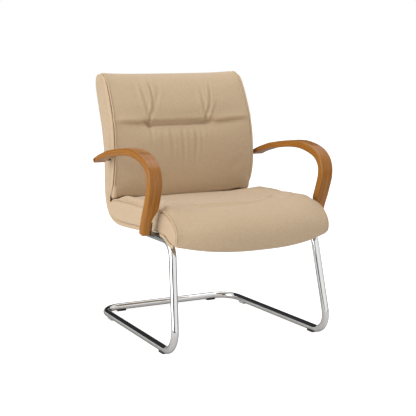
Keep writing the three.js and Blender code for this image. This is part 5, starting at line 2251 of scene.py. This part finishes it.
@dataclass
class BackCushion:
    """The padded back: two panels that meet in a gathered seam, rolled over at the top."""

    finishes: Finishes
    shell: ShellForm
    half_width: float = 261.0
    bottom: float = 441.7
    height: float = 426.3
    depth: float = 196.0
    front: float = 170.0
    power: float = 4.0
    foot_flare: float = 12.5
    top_flare: float = 4.0
    flare_depth: float = 90.0
    flare_fade: float = 60.0
    steps: int = 110
    gap: float = 1.4
    rim_round: float = 4.0
    seam: Line = (
        (-272, 707), (-218, 706), (-178, 705), (-153, 699), (-136, 692), (-110, 690), (-36, 690),
        (30, 690.5), (70, 691.5), (86, 693), (120, 697), (160, 702.5), (207, 705), (272, 705))
    pinches: Line = ((-136, 692, 6.0), (85, 693, 3.0))
    middle_shares: Line = (
        (0.153, 0), (0.077, 0.075), (0.026, 0.169), (0, 0.287), (0.005, 0.405), (0.031, 0.499),
        (0.071, 0.562), (0.148, 0.591), (0.092, 0.624), (0.102, 0.687), (0.163, 0.765), (0.27, 0.847),
        (0.429, 0.929), (0.602, 0.974), (0.776, 0.988), (0.918, 0.972), (0.99, 0.934), (0.995, 0.896))
    side_shares: Line = (
        (0.174, 0.032), (0.138, 0.08), (0.081, 0.175), (0.051, 0.278), (0.053, 0.4), (0.073, 0.5),
        (0.105, 0.576), (0.132, 0.621), (0.155, 0.656), (0.182, 0.694), (0.263, 0.769), (0.355, 0.852),
        (0.475, 0.939), (0.627, 0.988), (0.786, 1), (0.92, 0.981), (0.994, 0.939), (1, 0.896))
    gathers: Sequence[Fold] = (
        Fold(((-136, 695), (-131, 722), (-122, 746), (-116, 771), (-114, 796), (-113, 825), (-107, 856)),
             5.2, 4.8, 0.35, 0.08, 0.35),
        Fold(((-138, 700), (-140, 733), (-145, 763), (-147, 793), (-146, 822), (-142, 854)),
             3.9, 6.0, 0.35, 0.12, 0.45),
        Fold(((-132, 700), (-112, 754), (-100, 779), (-87, 808), (-70, 846)), 3.1, 7.0, 0.3, 0.2, 0.45),
        Fold(((-136, 704), (-131, 740), (-130, 775)), -1.6, 5.0, 0.0, 0.3, 0.6),
        Fold(((-168, 760), (-172, 800), (-166, 840)), 1.3, 9.0, 0.3, 0.5, 0.5),
        Fold(((84, 696), (85, 713), (98, 744), (106, 770), (114, 800), (126, 840)),
             5.2, 4.8, 0.35, 0.08, 0.35),
        Fold(((82, 698), (78, 727), (77, 762), (77, 788), (82, 832)), 3.6, 6.0, 0.35, 0.12, 0.45),
        Fold(((90, 700), (96, 709), (106, 731), (120, 754), (134, 782)), -1.8, 5.5, 0.3, 0.2, 0.5),
        Fold(((96, 700), (116, 728), (134, 760), (146, 796)), 1.4, 8.0, 0.3, 0.3, 0.5),
        Fold(((56, 740), (52, 780), (58, 826)), 1.2, 9.0, 0.3, 0.5, 0.5),
    )
    wrinkles: Sequence[Fold] = (
        Fold(((-138, 690), (-134, 660), (-130, 600)), 2.4, 6.0, 0.35, 0.05, 0.7),
        Fold(((-92, 684), (-90, 640), (-94, 576)), 1.5, 6.5, 0.4, 0.25, 0.5),
        Fold(((-62, 684), (-58, 640), (-53, 556)), 2.5, 6.0, 0.4, 0.25, 0.45),
        Fold(((-14, 684), (-14, 630), (-10, 538)), 2.9, 6.0, 0.4, 0.25, 0.4),
        Fold(((12, 680), (11, 645), (16, 584)), 1.2, 6.0, 0.4, 0.3, 0.5),
        Fold(((38, 684), (37, 630), (31, 540)), 2.9, 6.0, 0.4, 0.25, 0.4),
        Fold(((62, 682), (61, 645), (60, 580)), 1.3, 6.5, 0.4, 0.3, 0.5),
        Fold(((86, 688), (84, 655), (80, 610)), 1.2, 6.0, 0.4, 0.2, 0.6),
        Fold(((-240, 560), (-205, 530), (-150, 512)), 1.6, 15.0, 0.3, 0.4, 0.6),
        Fold(((240, 570), (200, 535), (140, 515)), 1.6, 15.0, 0.3, 0.4, 0.6),
    )
    seam_depth: float = 7.0
    seam_width: float = 4.5
    swell_above: float = 3.6
    dip_below: float = 2.0
    overhang: float = 3.4
    slack: float = 0.6
    groove_width: float = 5.5
    outside: float = 0.22
    outside_fill: float = 8.5
    outside_left: Pair = (132, 176)
    outside_right: Pair = (84, 130)
    groove: float = 3.0
    corner_drop: float = 12.0
    foot_drop: float = 3.5

    def place(self, shares: Line) -> np.ndarray:
        """Points of the back from shares of its depth and height."""
        return np.array((self.front, self.bottom)) + np.asarray(shares, float) * (self.depth, self.height)

    def upper(self, x: float) -> np.ndarray:
        """Draws the front of the back's outline.

        Args:
            x: Where across the back.

        Returns:
            Its line from the bottom edge up the front and over the roll.
        """
        share = 1 - (abs(x) / self.half_width) ** self.power
        side, middle = self.place(self.side_shares), self.place(self.middle_shares)
        return spline(side + (middle - side) * share, self.steps)

    def outline(self, x: float) -> np.ndarray:
        """Draws the back's closed outline.

        Args:
            x: Where across the back.

        Returns:
            The outline in the y-z plane.
        """
        inner = self.shell.inner(self.gap)
        face = inner[inner[:, 1] > self.bottom + 2]
        top = face[-1]
        upper = self.upper(x)
        foot_y = np.interp(self.bottom, inner[:, 1], inner[:, 0])
        ledge = np.array([[upper[-1, 0] - 2, top[1] + self.gap], [top[0], top[1] + self.gap]])
        return np.concatenate([upper, ledge, face[:-1][::-1], [[foot_y, self.bottom]]])

    def rings(self) -> np.ndarray:
        """Makes the back's rings, rounded at the rims.

        Returns:
            The rings from side to side.
        """
        inner = (self.half_width - self.rim_round) * np.sin(np.linspace(0, math.pi / 2, 30))
        half = [np.insert(self.outline(x), 0, x, axis=1) for x in inner]
        rim = self.outline(self.half_width)
        middle = rim.mean(0)
        for angle in np.linspace(0.3, math.pi / 2, 4):
            away = rim - middle
            reach = np.linalg.norm(away, axis=1, keepdims=True)
            ring = rim - away / reach * 3.5 * (1 - math.cos(angle))
            x = self.half_width - self.rim_round * (1 - math.sin(angle))
            half.append(np.insert(ring, 0, x, axis=1))
        other = [ring * (-1, 1, 1) for ring in half[1:]]
        rings = np.array(other[::-1] + half)
        rings[:, :, 0] *= 1 + self.flare(rings[:, :, 1:]) / self.half_width
        return rings

    def flare(self, points: np.ndarray) -> np.ndarray:
        """Works out how far the side stands out from the shell's cover.

        Args:
            points: Places beside it, as y and z.

        Returns:
            The distance at each place.
        """
        y, z = points[..., 0], points[..., 1]
        face = self.shell.inner(0)
        rise = np.clip((z - self.bottom) / self.height, 0, 1)
        below = smooth_share(z, self.bottom - self.flare_fade, self.bottom)
        face_y = np.interp(np.maximum(z, self.bottom), face[:, 1], face[:, 0])
        ahead = np.clip((face_y - y) / self.flare_depth, 0, 1)
        return (self.foot_flare + (self.top_flare - self.foot_flare) * rise) * below * ahead

    def held(self, corners: np.ndarray, normals: np.ndarray) -> np.ndarray:
        """Holds the cover at the shell, the rims, the bottom and the sewn seam.

        Args:
            corners: The pad's corners.
            normals: Its normals there.

        Returns:
            How firmly each corner is held, 0 to 1.
        """
        rear = smooth_share(normals[:, 1], -0.15, 0.3)
        width = np.abs(corners[:, 0]) / (1 + self.flare(corners[:, 1:]) / self.half_width)
        rim = smooth_share(width, 250, 258)
        foot = 1 - smooth_share(corners[:, 2], self.bottom + 3, self.bottom + 16)
        line = spline(self.seam, 60)
        distance, _, _ = nearest_on_line(corners[:, [0, 2]], line)
        sewn = (1 - smooth_share(distance, 3, 9)) * smooth_share(-normals[:, 1], 0.1, 0.4)
        return np.maximum.reduce([rear, rim, foot, sewn])

    def sculpt(self, mesh: Mesh) -> None:
        """Pulls the seam in, pinches it at two places and lays the gathers and wrinkles.

        Args:
            mesh: The pad's mesh.
        """
        corners, normals = coordinates(mesh), corner_normals(mesh)
        plane = corners[:, [0, 2]]
        front = smooth_share(-normals[:, 1], 0.05, 0.35) * (corners[:, 2] > self.bottom + 8)
        line = spline(self.seam, 90)
        distance, signed, _ = nearest_on_line(plane, line)
        away = smooth_share(-plane[:, 0], *self.outside_left)
        away += smooth_share(plane[:, 0], *self.outside_right)
        crisp = 1 - (1 - self.outside) * away
        sink = self.seam_depth * bell(distance, 0, self.seam_width) * crisp
        sink -= self.swell_above * bell(signed, 17, 11) * (0.3 + 0.7 * crisp)
        sink += self.dip_below * (bell(signed, -12, 12) - bell(signed, -42, 24)) * crisp
        sink -= self.outside_fill * bell(signed, 1, 11) * away
        sink *= 1 - 0.6 * smooth_share(np.abs(plane[:, 0]), 232, 262)
        for x, z, depth in self.pinches:
            reach = np.hypot(plane[:, 0] - x, (plane[:, 1] - z) * 1.1)
            sink += depth * (bell(reach, 0, 10) + 0.4 * bell(reach, 0, 30))
        sink += sum(fold.sink(plane) for fold in (*self.gathers, *self.wrinkles))
        slack = np.sin(plane[:, 0] / 57 + 0.4) * np.sin(plane[:, 1] / 49 + 1.1)
        sink += self.slack * slack
        down = np.zeros_like(normals)
        down[:, 2] = -self.overhang * bell(signed, 5, 5) * crisp**2 * front
        corner = smooth_share(np.abs(corners[:, 0]), 222, 266) * (corners[:, 1] < self.front + 60)
        low = 1 - smooth_share(corners[:, 2], self.bottom + 6, self.bottom + 70)
        down[:, 2] -= (self.foot_drop + self.corner_drop * corner) * low
        moved = corners - normals * (sink * front)[:, None] + down
        width = self.half_width + self.flare(corners[:, 1:])
        near = rim_distance(corners, self.upper(self.half_width), width)
        place_corners(mesh, moved - normals * (self.groove * bell(near, 0, self.groove_width))[:, None])

    def build(self) -> None:
        """Builds the cushion."""
        made = meshed("back_cushion", *loft_parts(self.rings()))
        ClothPuff(cap=6.0, start_inset=3.0).run(made, self.held)
        self.sculpt(made.data)
        map_weave(made.data, self.outline(0))
        soften(made.data, 75)
        dress(made, self.finishes.fabric, Slot.FABRIC, "back_cover", "back_foam")


@dataclass
class SideBands:
    """The soft strips round the shell's edge, from under the seat to the top corners."""

    finishes: Finishes
    back: BackCushion
    base_x: float = 261.3
    flare_share: float = 1.05
    thickness: float = 4.0
    crown: float = 3.0
    front: float = -198.0
    reach: float = 564.0
    bottom: float = 352.0
    rise: float = 514.0
    steps: int = 190
    end_steps: int = 6
    inner_shares: Line = (
        (0, 0.046), (0.067, 0.0545), (0.19, 0.0525), (0.286, 0.0505), (0.35, 0.0475), (0.474, 0.0395),
        (0.597, 0.036), (0.676, 0.037), (0.737, 0.045), (0.764, 0.07), (0.777, 0.103), (0.779, 0.142),
        (0.77, 0.176), (0.717, 0.232), (0.689, 0.317), (0.677, 0.405), (0.678, 0.506), (0.686, 0.599),
        (0.711, 0.706), (0.75, 0.809), (0.788, 0.891), (0.83, 0.959), (0.878, 0.986), (0.922, 0.992))
    outer_shares: Line = (
        (0, 0.0408), (0.067, 0.0408), (0.19, 0.0408), (0.28, 0.0408), (0.343, 0.0175), (0.456, 0.0068),
        (0.589, 0), (0.686, 0.002), (0.77, 0.028), (0.823, 0.072), (0.851, 0.121), (0.864, 0.171),
        (0.871, 0.22), (0.873, 0.298), (0.873, 0.375), (0.879, 0.467), (0.897, 0.57), (0.925, 0.677),
        (0.955, 0.765), (0.981, 0.842), (0.996, 0.895), (1, 0.938), (0.986, 0.971), (0.947, 0.994))

    def lines(self, seam: np.ndarray) -> tuple[np.ndarray, np.ndarray]:
        """Draws the strip's two edges.

        Args:
            seam: The seat's lower seam in the y-z plane.

        Returns:
            Its edge at the cushions and its outer edge, in the same plane.
        """
        inner, outer = (
            spline((self.front, self.bottom) + np.array(shares) * (self.reach, self.rise), self.steps)
            for shares in (self.inner_shares, self.outer_shares))
        order = seam[np.argsort(seam[:, 0])]
        limit = np.interp(inner[:, 0], order[:, 0], order[:, 1]) - 0.8
        low = inner[:, 1] <= self.bottom + 34.9
        inner[low, 1] = np.minimum(inner[low, 1], limit[low])
        return inner, outer

    def base(self, points: np.ndarray) -> np.ndarray:
        """X of the strip's inner face at (y, z) places."""
        return self.base_x + self.flare_share * self.back.flare(points)

    def height(self, share: float) -> float:
        """How far the strip stands out at a share of its width."""
        low = self.thickness * 0.55
        return low + (self.crown + self.thickness - low) * math.sin(math.pi * share) ** 0.55

    def section(self) -> list[Pair]:
        """The strip's cross-section: share across it, and how far it stands out."""
        crown = [(share, self.height(share)) for share in np.linspace(0, 1, 15)]
        return [(0.0, 0.0)] + crown + [(1.0, 0.0)]

    def build(self, seam: np.ndarray) -> None:
        """Builds both strips.

        Args:
            seam: The seat's lower seam in the y-z plane.
        """
        inner, outer = self.lines(seam)
        section = np.array(self.section())
        for side in Side:
            rings = []
            for i, (near, far) in enumerate(zip(inner, outer)):
                end = min(i, len(inner) - 1 - i) / self.end_steps
                ease = math.sqrt(max(1 - (1 - min(end, 1)) ** 2, 0.03))
                middle = (near + far) / 2
                places = near + (far - near) * section[:, :1]
                places = middle + (places - middle) * (0.7 + 0.3 * ease)
                out = section[:, 1] * ease
                rings.append(np.column_stack([side.value * (self.base(places) + out), places]))
            made = meshed(f"side_strip_{side.label}", *loft_parts(np.array(rings)), 80)
            map_weave(made.data, (inner + outer) / 2, 2.0)
            dress(made, self.finishes.fabric, Slot.FABRIC, f"side_band_{side.label}")


@dataclass
class SeatHems:
    """The hemmed edges that carry the side strips on to the front of the seat."""

    finishes: Finishes
    middle_x: float = 275.9
    half_thickness: float = 2.4
    half_height: float = 5.8
    steps: int = 90
    end_steps: int = 6
    sides: int = 20
    line: Line = (
        (-186, 376), (-200, 375.5), (-212, 373.5), (-224, 369.5), (-236, 364), (-248, 358.5),
        (-260, 354), (-272, 352), (-284, 353.5))

    def build(self) -> None:
        """Lays a flat padded edge under each side of the seat, thinned to nothing at its ends."""
        path = evened(spline(self.line, 12), self.steps)
        across = right_normals(path)
        ends = np.minimum(np.arange(self.steps), np.arange(self.steps)[::-1]) / self.end_steps
        ease = np.sqrt(1 - (1 - np.clip(ends, 0.06, 1)) ** 2)
        angles = np.linspace(0, 2 * math.pi, self.sides, endpoint=False)
        wide = self.half_thickness * np.sign(np.cos(angles)) * np.abs(np.cos(angles)) ** 0.6
        tall = self.half_height * np.sign(np.sin(angles)) * np.abs(np.sin(angles)) ** 0.8
        for side in Side:
            rings = []
            for place, normal, share in zip(path, across, ease):
                out = side.value * (self.middle_x + wide * share)
                rings.append(np.column_stack([out, place + (tall * share)[:, None] * normal]))
            made = meshed(f"seat_hem_{side.label}", *loft_parts(np.array(rings)), 80)
            map_weave(made.data, path, 2.0)
            dress(made, self.finishes.fabric, Slot.FABRIC)


@dataclass
class ShellCover:
    """The upholstered outside of the shell and the lining under the seat."""

    finishes: Finishes
    shell: ShellForm
    half_width: float = 261.0
    ply_half_width: float = 258.0
    pad_start: float = 15.0
    pad_bottom: float = 24.0
    pad_back: float = 7.0
    thinning: float = 0.35
    lining_thickness: float = 3.4
    crown: float = 2.2
    seam_gap: float = 0.8
    lead: float = 22.0
    room_heights: Pair = (365.0, 380.0)

    def build(self) -> None:
        """Builds the rear panel and the lining."""
        self.rear_panel()
        self.lining()

    def pad_along(self, line: np.ndarray) -> np.ndarray:
        """Works out the thickness of the padding.

        Args:
            line: The shell's outer line.

        Returns:
            The thickness at each of its points.
        """
        lengths = arc_lengths(line)
        bend = math.pi / 2 * self.shell.bend_radius
        start = self.shell.bend_start - line[0, 0]
        share = (lengths - start) / bend
        ease = smooth_share((share - self.thinning) / (1 - self.thinning), 0, 1)
        return self.pad_bottom + (self.pad_back - self.pad_bottom) * ease

    def rear_panel(self) -> None:
        """Builds the padded panel from under the seat, round the bend and up the back."""
        outer = self.shell.outer()
        line = evened(np.concatenate([[(self.pad_start, self.shell.under)], outer[1:]]), 170)
        pad = self.pad_along(line)
        lead = smooth_share(arc_lengths(line), 0, self.lead)
        ply = self.ply_half_width / self.half_width
        width = ply + (1 - ply) * smooth_share(line[:, 1], self.shell.under + 4, self.shell.under + 30)
        xs = self.half_width * np.sin(np.linspace(-math.pi / 2, math.pi / 2, 61))
        rings = []
        for x in xs:
            share = abs(x) / self.half_width
            edge = (1 - share**14) ** 0.5
            fill = pad - self.seam_gap + self.crown * (1 - share**2)
            depth = self.seam_gap + fill * (0.5 + 0.5 * edge) * (0.35 + 0.65 * lead)
            over = np.concatenate([offset(line, depth), offset(line, 0.5)[::-1]])
            ring_x = x * np.concatenate([width, width[::-1]])
            rings.append(np.column_stack([ring_x, over]))
        made = meshed("rear_panel", *loft_parts(np.array(rings)), 60)
        map_weave(made.data, line, 2.0)
        dress(made, self.finishes.fabric, Slot.FABRIC, "outer_cover")

    def lining(self) -> None:
        """Stretches the lining under the front of the seat, cut round the mounting plates."""
        top = self.shell.under - 0.4
        xs = np.linspace(-self.ply_half_width + 2, self.ply_half_width - 2, 90)
        ys = np.linspace(self.shell.front + 2, self.pad_start + 2, 40)
        grid_x, grid_y = np.meshgrid(xs, ys, indexing="ij")
        sag = 0.5 * np.sin(grid_x / 23) * np.sin(grid_y / 19)
        low = top - self.lining_thickness + 0.6 + sag
        high = np.full_like(low, top)
        count = len(xs) * len(ys)
        corners = np.concatenate([
            np.stack([grid_x, grid_y, low], axis=-1).reshape(-1, 3),
            np.stack([grid_x, grid_y, high], axis=-1).reshape(-1, 3)])
        faces = []
        rows = len(ys)
        for i in range(len(xs) - 1):
            for j in range(rows - 1):
                a = i * rows + j
                faces.append([a, a + 1, a + rows + 1, a + rows])
                faces.append([count + k for k in (a, a + rows, a + rows + 1, a + 1)])
        border = (
            [i * rows for i in range(len(xs))] + [(len(xs) - 1) * rows + j for j in range(1, rows)]
            + [i * rows + rows - 1 for i in range(len(xs) - 2, -1, -1)] + list(range(rows - 2, 0, -1)))
        for a, b in zip(border, border[1:] + border[:1]):
            faces.append([a, b, count + b, count + a])
        made = meshed("seat_lining", corners, faces, 60)
        for node in ("arm_bracket_right", "arm_bracket_left", "rear_plate_right", "rear_plate_left"):
            low_corner, high_corner = node_box(node)
            x0, y0, _ = low_corner - self.seam_gap
            x1, y1, _ = high_corner + self.seam_gap
            box = np.array([(x, y, z) for x in (x0, x1) for y in (y0, y1) for z in self.room_heights])
            tool = meshed("plate_room", box, [
                (0, 1, 3, 2), (4, 6, 7, 5), (0, 4, 5, 1), (2, 3, 7, 6), (0, 2, 6, 4), (1, 5, 7, 3)])
            cut_out(made, tool)
        soften(made.data, 60)
        dress(made, self.finishes.lining, Slot.FABRIC)


@dataclass
class Welts:
    """Corded seams of the cushions, with their rows of stitches."""

    finishes: Finishes
    sewing: Sewing
    radius: float = 2.6
    sides: int = 14
    stand: float = 2.2
    seat_span: Pair = (0.22, 0.89)
    back_span: Pair = (0.06, 0.82)
    calm_reach: int = 9
    end_steps: int = 7

    def build(self, seat: SeatCushion, back: BackCushion) -> None:
        """Builds the cords of both cushions.

        Args:
            seat: The seat cushion.
            back: The back cushion.
        """
        seat_rim, back_rim = seat.upper(seat.half_width), back.upper(back.half_width)
        seat_x = np.full(len(seat_rim), seat.half_width)
        back_x = back.half_width + back.flare(back_rim)
        for side in Side:
            self.cord("seat", seat_rim, seat_x, self.seat_span, side)
            self.cord("back", back_rim, back_x, self.back_span, side)

    def cord(self, part: str, rim: np.ndarray, rim_x: np.ndarray, span: Pair, side: Side) -> None:
        """Lays one cord on a cushion's rim, and sews beside it.

        Args:
            part: Seat or back.
            rim: The rim in the y-z plane.
            rim_x: How far from the middle each of its points lies.
            span: Shares of the rim where the cord starts and ends.
            side: Its hand.
        """
        last = len(rim) - 1
        ends = slice(round(span[0] * last), round(span[1] * last) + 1)
        guide = offset(rim, -self.radius - 0.5)[ends]
        guide = evened(np.column_stack([rim_x[ends] + 0.5, guide]), 170) * (side.value, 1, 1)
        cushion = bpy.data.objects[f"{part}_cushion"]
        surface = BVHTree.FromObject(cushion, bpy.context.evaluated_depsgraph_get())
        path = []
        for point in guide:
            place, normal, _, _ = surface.find_nearest(Vector(point * MM))
            path.append(place / MM + normal * self.stand)
        path = self.calmed(np.array(path), self.calm_reach)
        ends_share = np.minimum(np.arange(len(path)), np.arange(len(path))[::-1]) / self.end_steps
        sunk = (1 - np.clip(ends_share, 0, 1)) ** 2 * (self.radius + 1.0)
        path -= (guide - path) / np.linalg.norm(guide - path, axis=1, keepdims=True) * sunk[:, None]
        wave = 0.1 * np.sin(arc_lengths(path) / 4.1)
        rings = tube_rings(path, self.radius + wave, self.sides)
        name = f"{part}_cord_{side.label}"
        made = meshed(name, *loft_parts(rings), 80)
        tube_length_map(made, path, self.sides, self.radius)
        dress(made, self.finishes.fabric, Slot.FABRIC, f"{part}_welt_{side.label}")
        lane = path + (side.value * (self.radius + 0.1), 0, 0)
        self.sewing.row(f"{name}_stitches", [lane[6:-6]])

    def calmed(self, points: np.ndarray, reach: int) -> np.ndarray:
        """Takes small jumps out of a line.

        Args:
            points: The line.
            reach: How many points on each side a point is averaged with.

        Returns:
            The calmer line.
        """
        before, after = np.repeat(points[:1], reach, 0), np.repeat(points[-1:], reach, 0)
        padded = np.concatenate([before, points, after])
        weights = np.hanning(2 * reach + 3)[1:-1]
        weights /= weights.sum()
        return np.stack([np.convolve(axis, weights, "valid") for axis in padded.T], axis=1)


@dataclass
class Hardware:
    """Brackets, plates, bolts and screws that hold the shell and the arms."""

    finishes: Finishes
    sewing: Sewing
    bush: float = 12.0
    bolt: float = 8.0
    bolt_head: float = 5.0
    bevel: float = 0.6

    def build(self) -> None:
        """Builds every fixing."""
        self.plates()
        self.bushes()
        self.arm_bolts()
        self.screws()
        self.nodes_kept()

    def plates(self) -> None:
        """Breaks the edges of the brackets and plates."""
        for side in Side:
            for node in ("arm_bracket", "back_bracket", "rear_plate"):
                name = f"{node}_{side.label}"
                made = refined(name, f"{name}_steel", self.bevel)
                dress(made, self.finishes.steel, Slot.STEEL, name)

    def bushes(self) -> None:
        """Turns the spacers between the back and the arms' tips."""
        for side in Side:
            node = f"arm_bush_{side.label}"
            low, high = node_box(node)
            length, middle = high[0] - low[0], (low + high) / 2
            inner, outer = self.bolt / 2 + 0.4, self.bush / 2
            waist = outer - 0.7
            profile = [
                (inner, 0), (outer - self.bevel, 0), (outer, self.bevel), (outer, length * 0.3),
                (waist, length * 0.36), (waist, length * 0.64), (outer, length * 0.7),
                (outer, length - self.bevel), (outer - self.bevel, length), (inner, length), (inner, 0)]
            corners, faces = turned_parts(profile, 40)
            corners = corners[:, [2, 0, 1]] + (low[0], middle[1], middle[2])
            dress(meshed(f"{node}_spacer", corners, faces, 35), self.finishes.steel, Slot.STEEL, node)

    def arm_bolts(self) -> None:
        """Sets the dark bolts in the arms' counterbores."""
        for side in Side:
            node = f"arm_bolt_{side.label}"
            low, high = node_box(node)
            head_x = high[0] if side is Side.RIGHT else low[0]
            length = high[0] - low[0] - self.bolt_head
            form = ScrewForm(12.0, self.bolt_head, self.bolt, length, 5.0)
            place = (head_x, (low[1] + high[1]) / 2, (low[2] + high[2]) / 2)
            turn = (0.0, -side.value * math.pi / 2, 0.0)
            self.sewing.set_fasteners(
                f"{node}_dark", form, [place], turn, self.finishes.steel, Slot.STEEL, [node])

    def screws(self) -> None:
        """Sets the zinc bolts under the seat, the arm screws and the bracket screws."""
        shell = [f"shell_bolt_{i}_{side.label}" for i in range(1, 5) for side in Side]
        upright = (0.0, 0.0, 0.0)
        self.zinc_set("shell_bolts", ScrewForm(12.0, 4.0, 6.0, 13.0, 5.0), shell, 2, False, upright)
        for side in Side:
            nodes = [f"arm_screw_{i}_{side.label}" for i in (1, 2)]
            turn = (0.0, side.value * math.pi / 2, 0.0)
            self.zinc_set(
                f"arm_screws_{side.label}", ScrewForm(11.0, 3.2, 6.0, 24.0, 4.5), nodes, 0,
                side is Side.LEFT, turn)
        nodes = [f"bracket_screw_{i}_{side.label}" for i in (1, 2) for side in Side]
        turn = (-math.pi / 2, 0.0, 0.0)
        self.zinc_set("bracket_screws", ScrewForm(8.0, 2.4, 4.0, 9.0, 3.2), nodes, 1, False, turn)

    def zinc_set(
            self, name: str, form: ScrewForm, nodes: Sequence[str], axis: int, far: bool,
            turn: Triple) -> None:
        """Sets one kind of zinc screw where its CAD nodes are.

        Args:
            name: The set's name.
            form: The screw.
            nodes: The CAD nodes.
            axis: The axis that they lie along.
            far: Whether their heads are at the high end.
            turn: Turns about X, Y and Z in radians.
        """
        places = [self.head(node, axis, far) for node in nodes]
        self.sewing.set_fasteners(name, form, places, turn, self.finishes.zinc, Slot.ZINC, nodes)

    def head(self, node: str, axis: int, far: bool) -> list[float]:
        """The middle of a fastener's head face.

        Args:
            node: The CAD node.
            axis: The axis that it lies along.
            far: Whether its head is at the high end.

        Returns:
            The place in millimetres.
        """
        low, high = node_box(node)
        place = (low + high) / 2
        place[axis] = (high if far else low)[axis]
        return list(place)

    def nodes_kept(self) -> None:
        """Gives the CAD nodes that stay their finishes."""
        kept = {"plywood_shell": self.finishes.ply, "tee_nut": self.finishes.zinc}
        for name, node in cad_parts.items():
            for start, material in kept.items():
                if name.startswith(start):
                    node.data.materials.clear()
                    node.data.materials.append(material)


@dataclass
class Topstitching:
    """Rows of stitches beside the long seams."""

    sewing: Sewing
    lane: float = 0.22
    ends: tuple[int, int] = (8, 10)

    def build(self, bands: SideBands, seam: np.ndarray) -> None:
        """Sews along the side strips.

        Args:
            bands: The side strips.
            seam: The seat's lower seam.
        """
        inner, outer = bands.lines(seam)
        first, last = self.ends
        line = evened((inner + (outer - inner) * self.lane)[first:-last], 300)
        out = bands.base(line) + bands.height(self.lane) + 0.1
        for side in Side:
            path = np.column_stack([side.value * out, line])
            self.sewing.row(f"side_strip_{side.label}_stitches", [path])


def main() -> None:
    """Builds the studio and the chair."""
    logging.basicConfig(level=logging.INFO, format="%(message)s")
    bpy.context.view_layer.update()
    Studio().build()
    finishes = Finishes()
    sewing = Sewing(finishes)
    shell = ShellForm()
    SledFrame(finishes).build()
    Glides(finishes).build()
    ArmPair(finishes).build()
    seat = SeatCushion(finishes, shell)
    back = BackCushion(finishes, shell)
    seat.build()
    back.build()
    seam = seat.place(seat.seam_shares)
    bands = SideBands(finishes, back)
    bands.build(seam)
    SeatHems(finishes).build()
    ShellCover(finishes, shell).build()
    Welts(finishes, sewing).build(seat, back)
    Topstitching(sewing).build(bands, seam)
    Hardware(finishes, sewing).build()


if __name__ == "__main__":
    main()
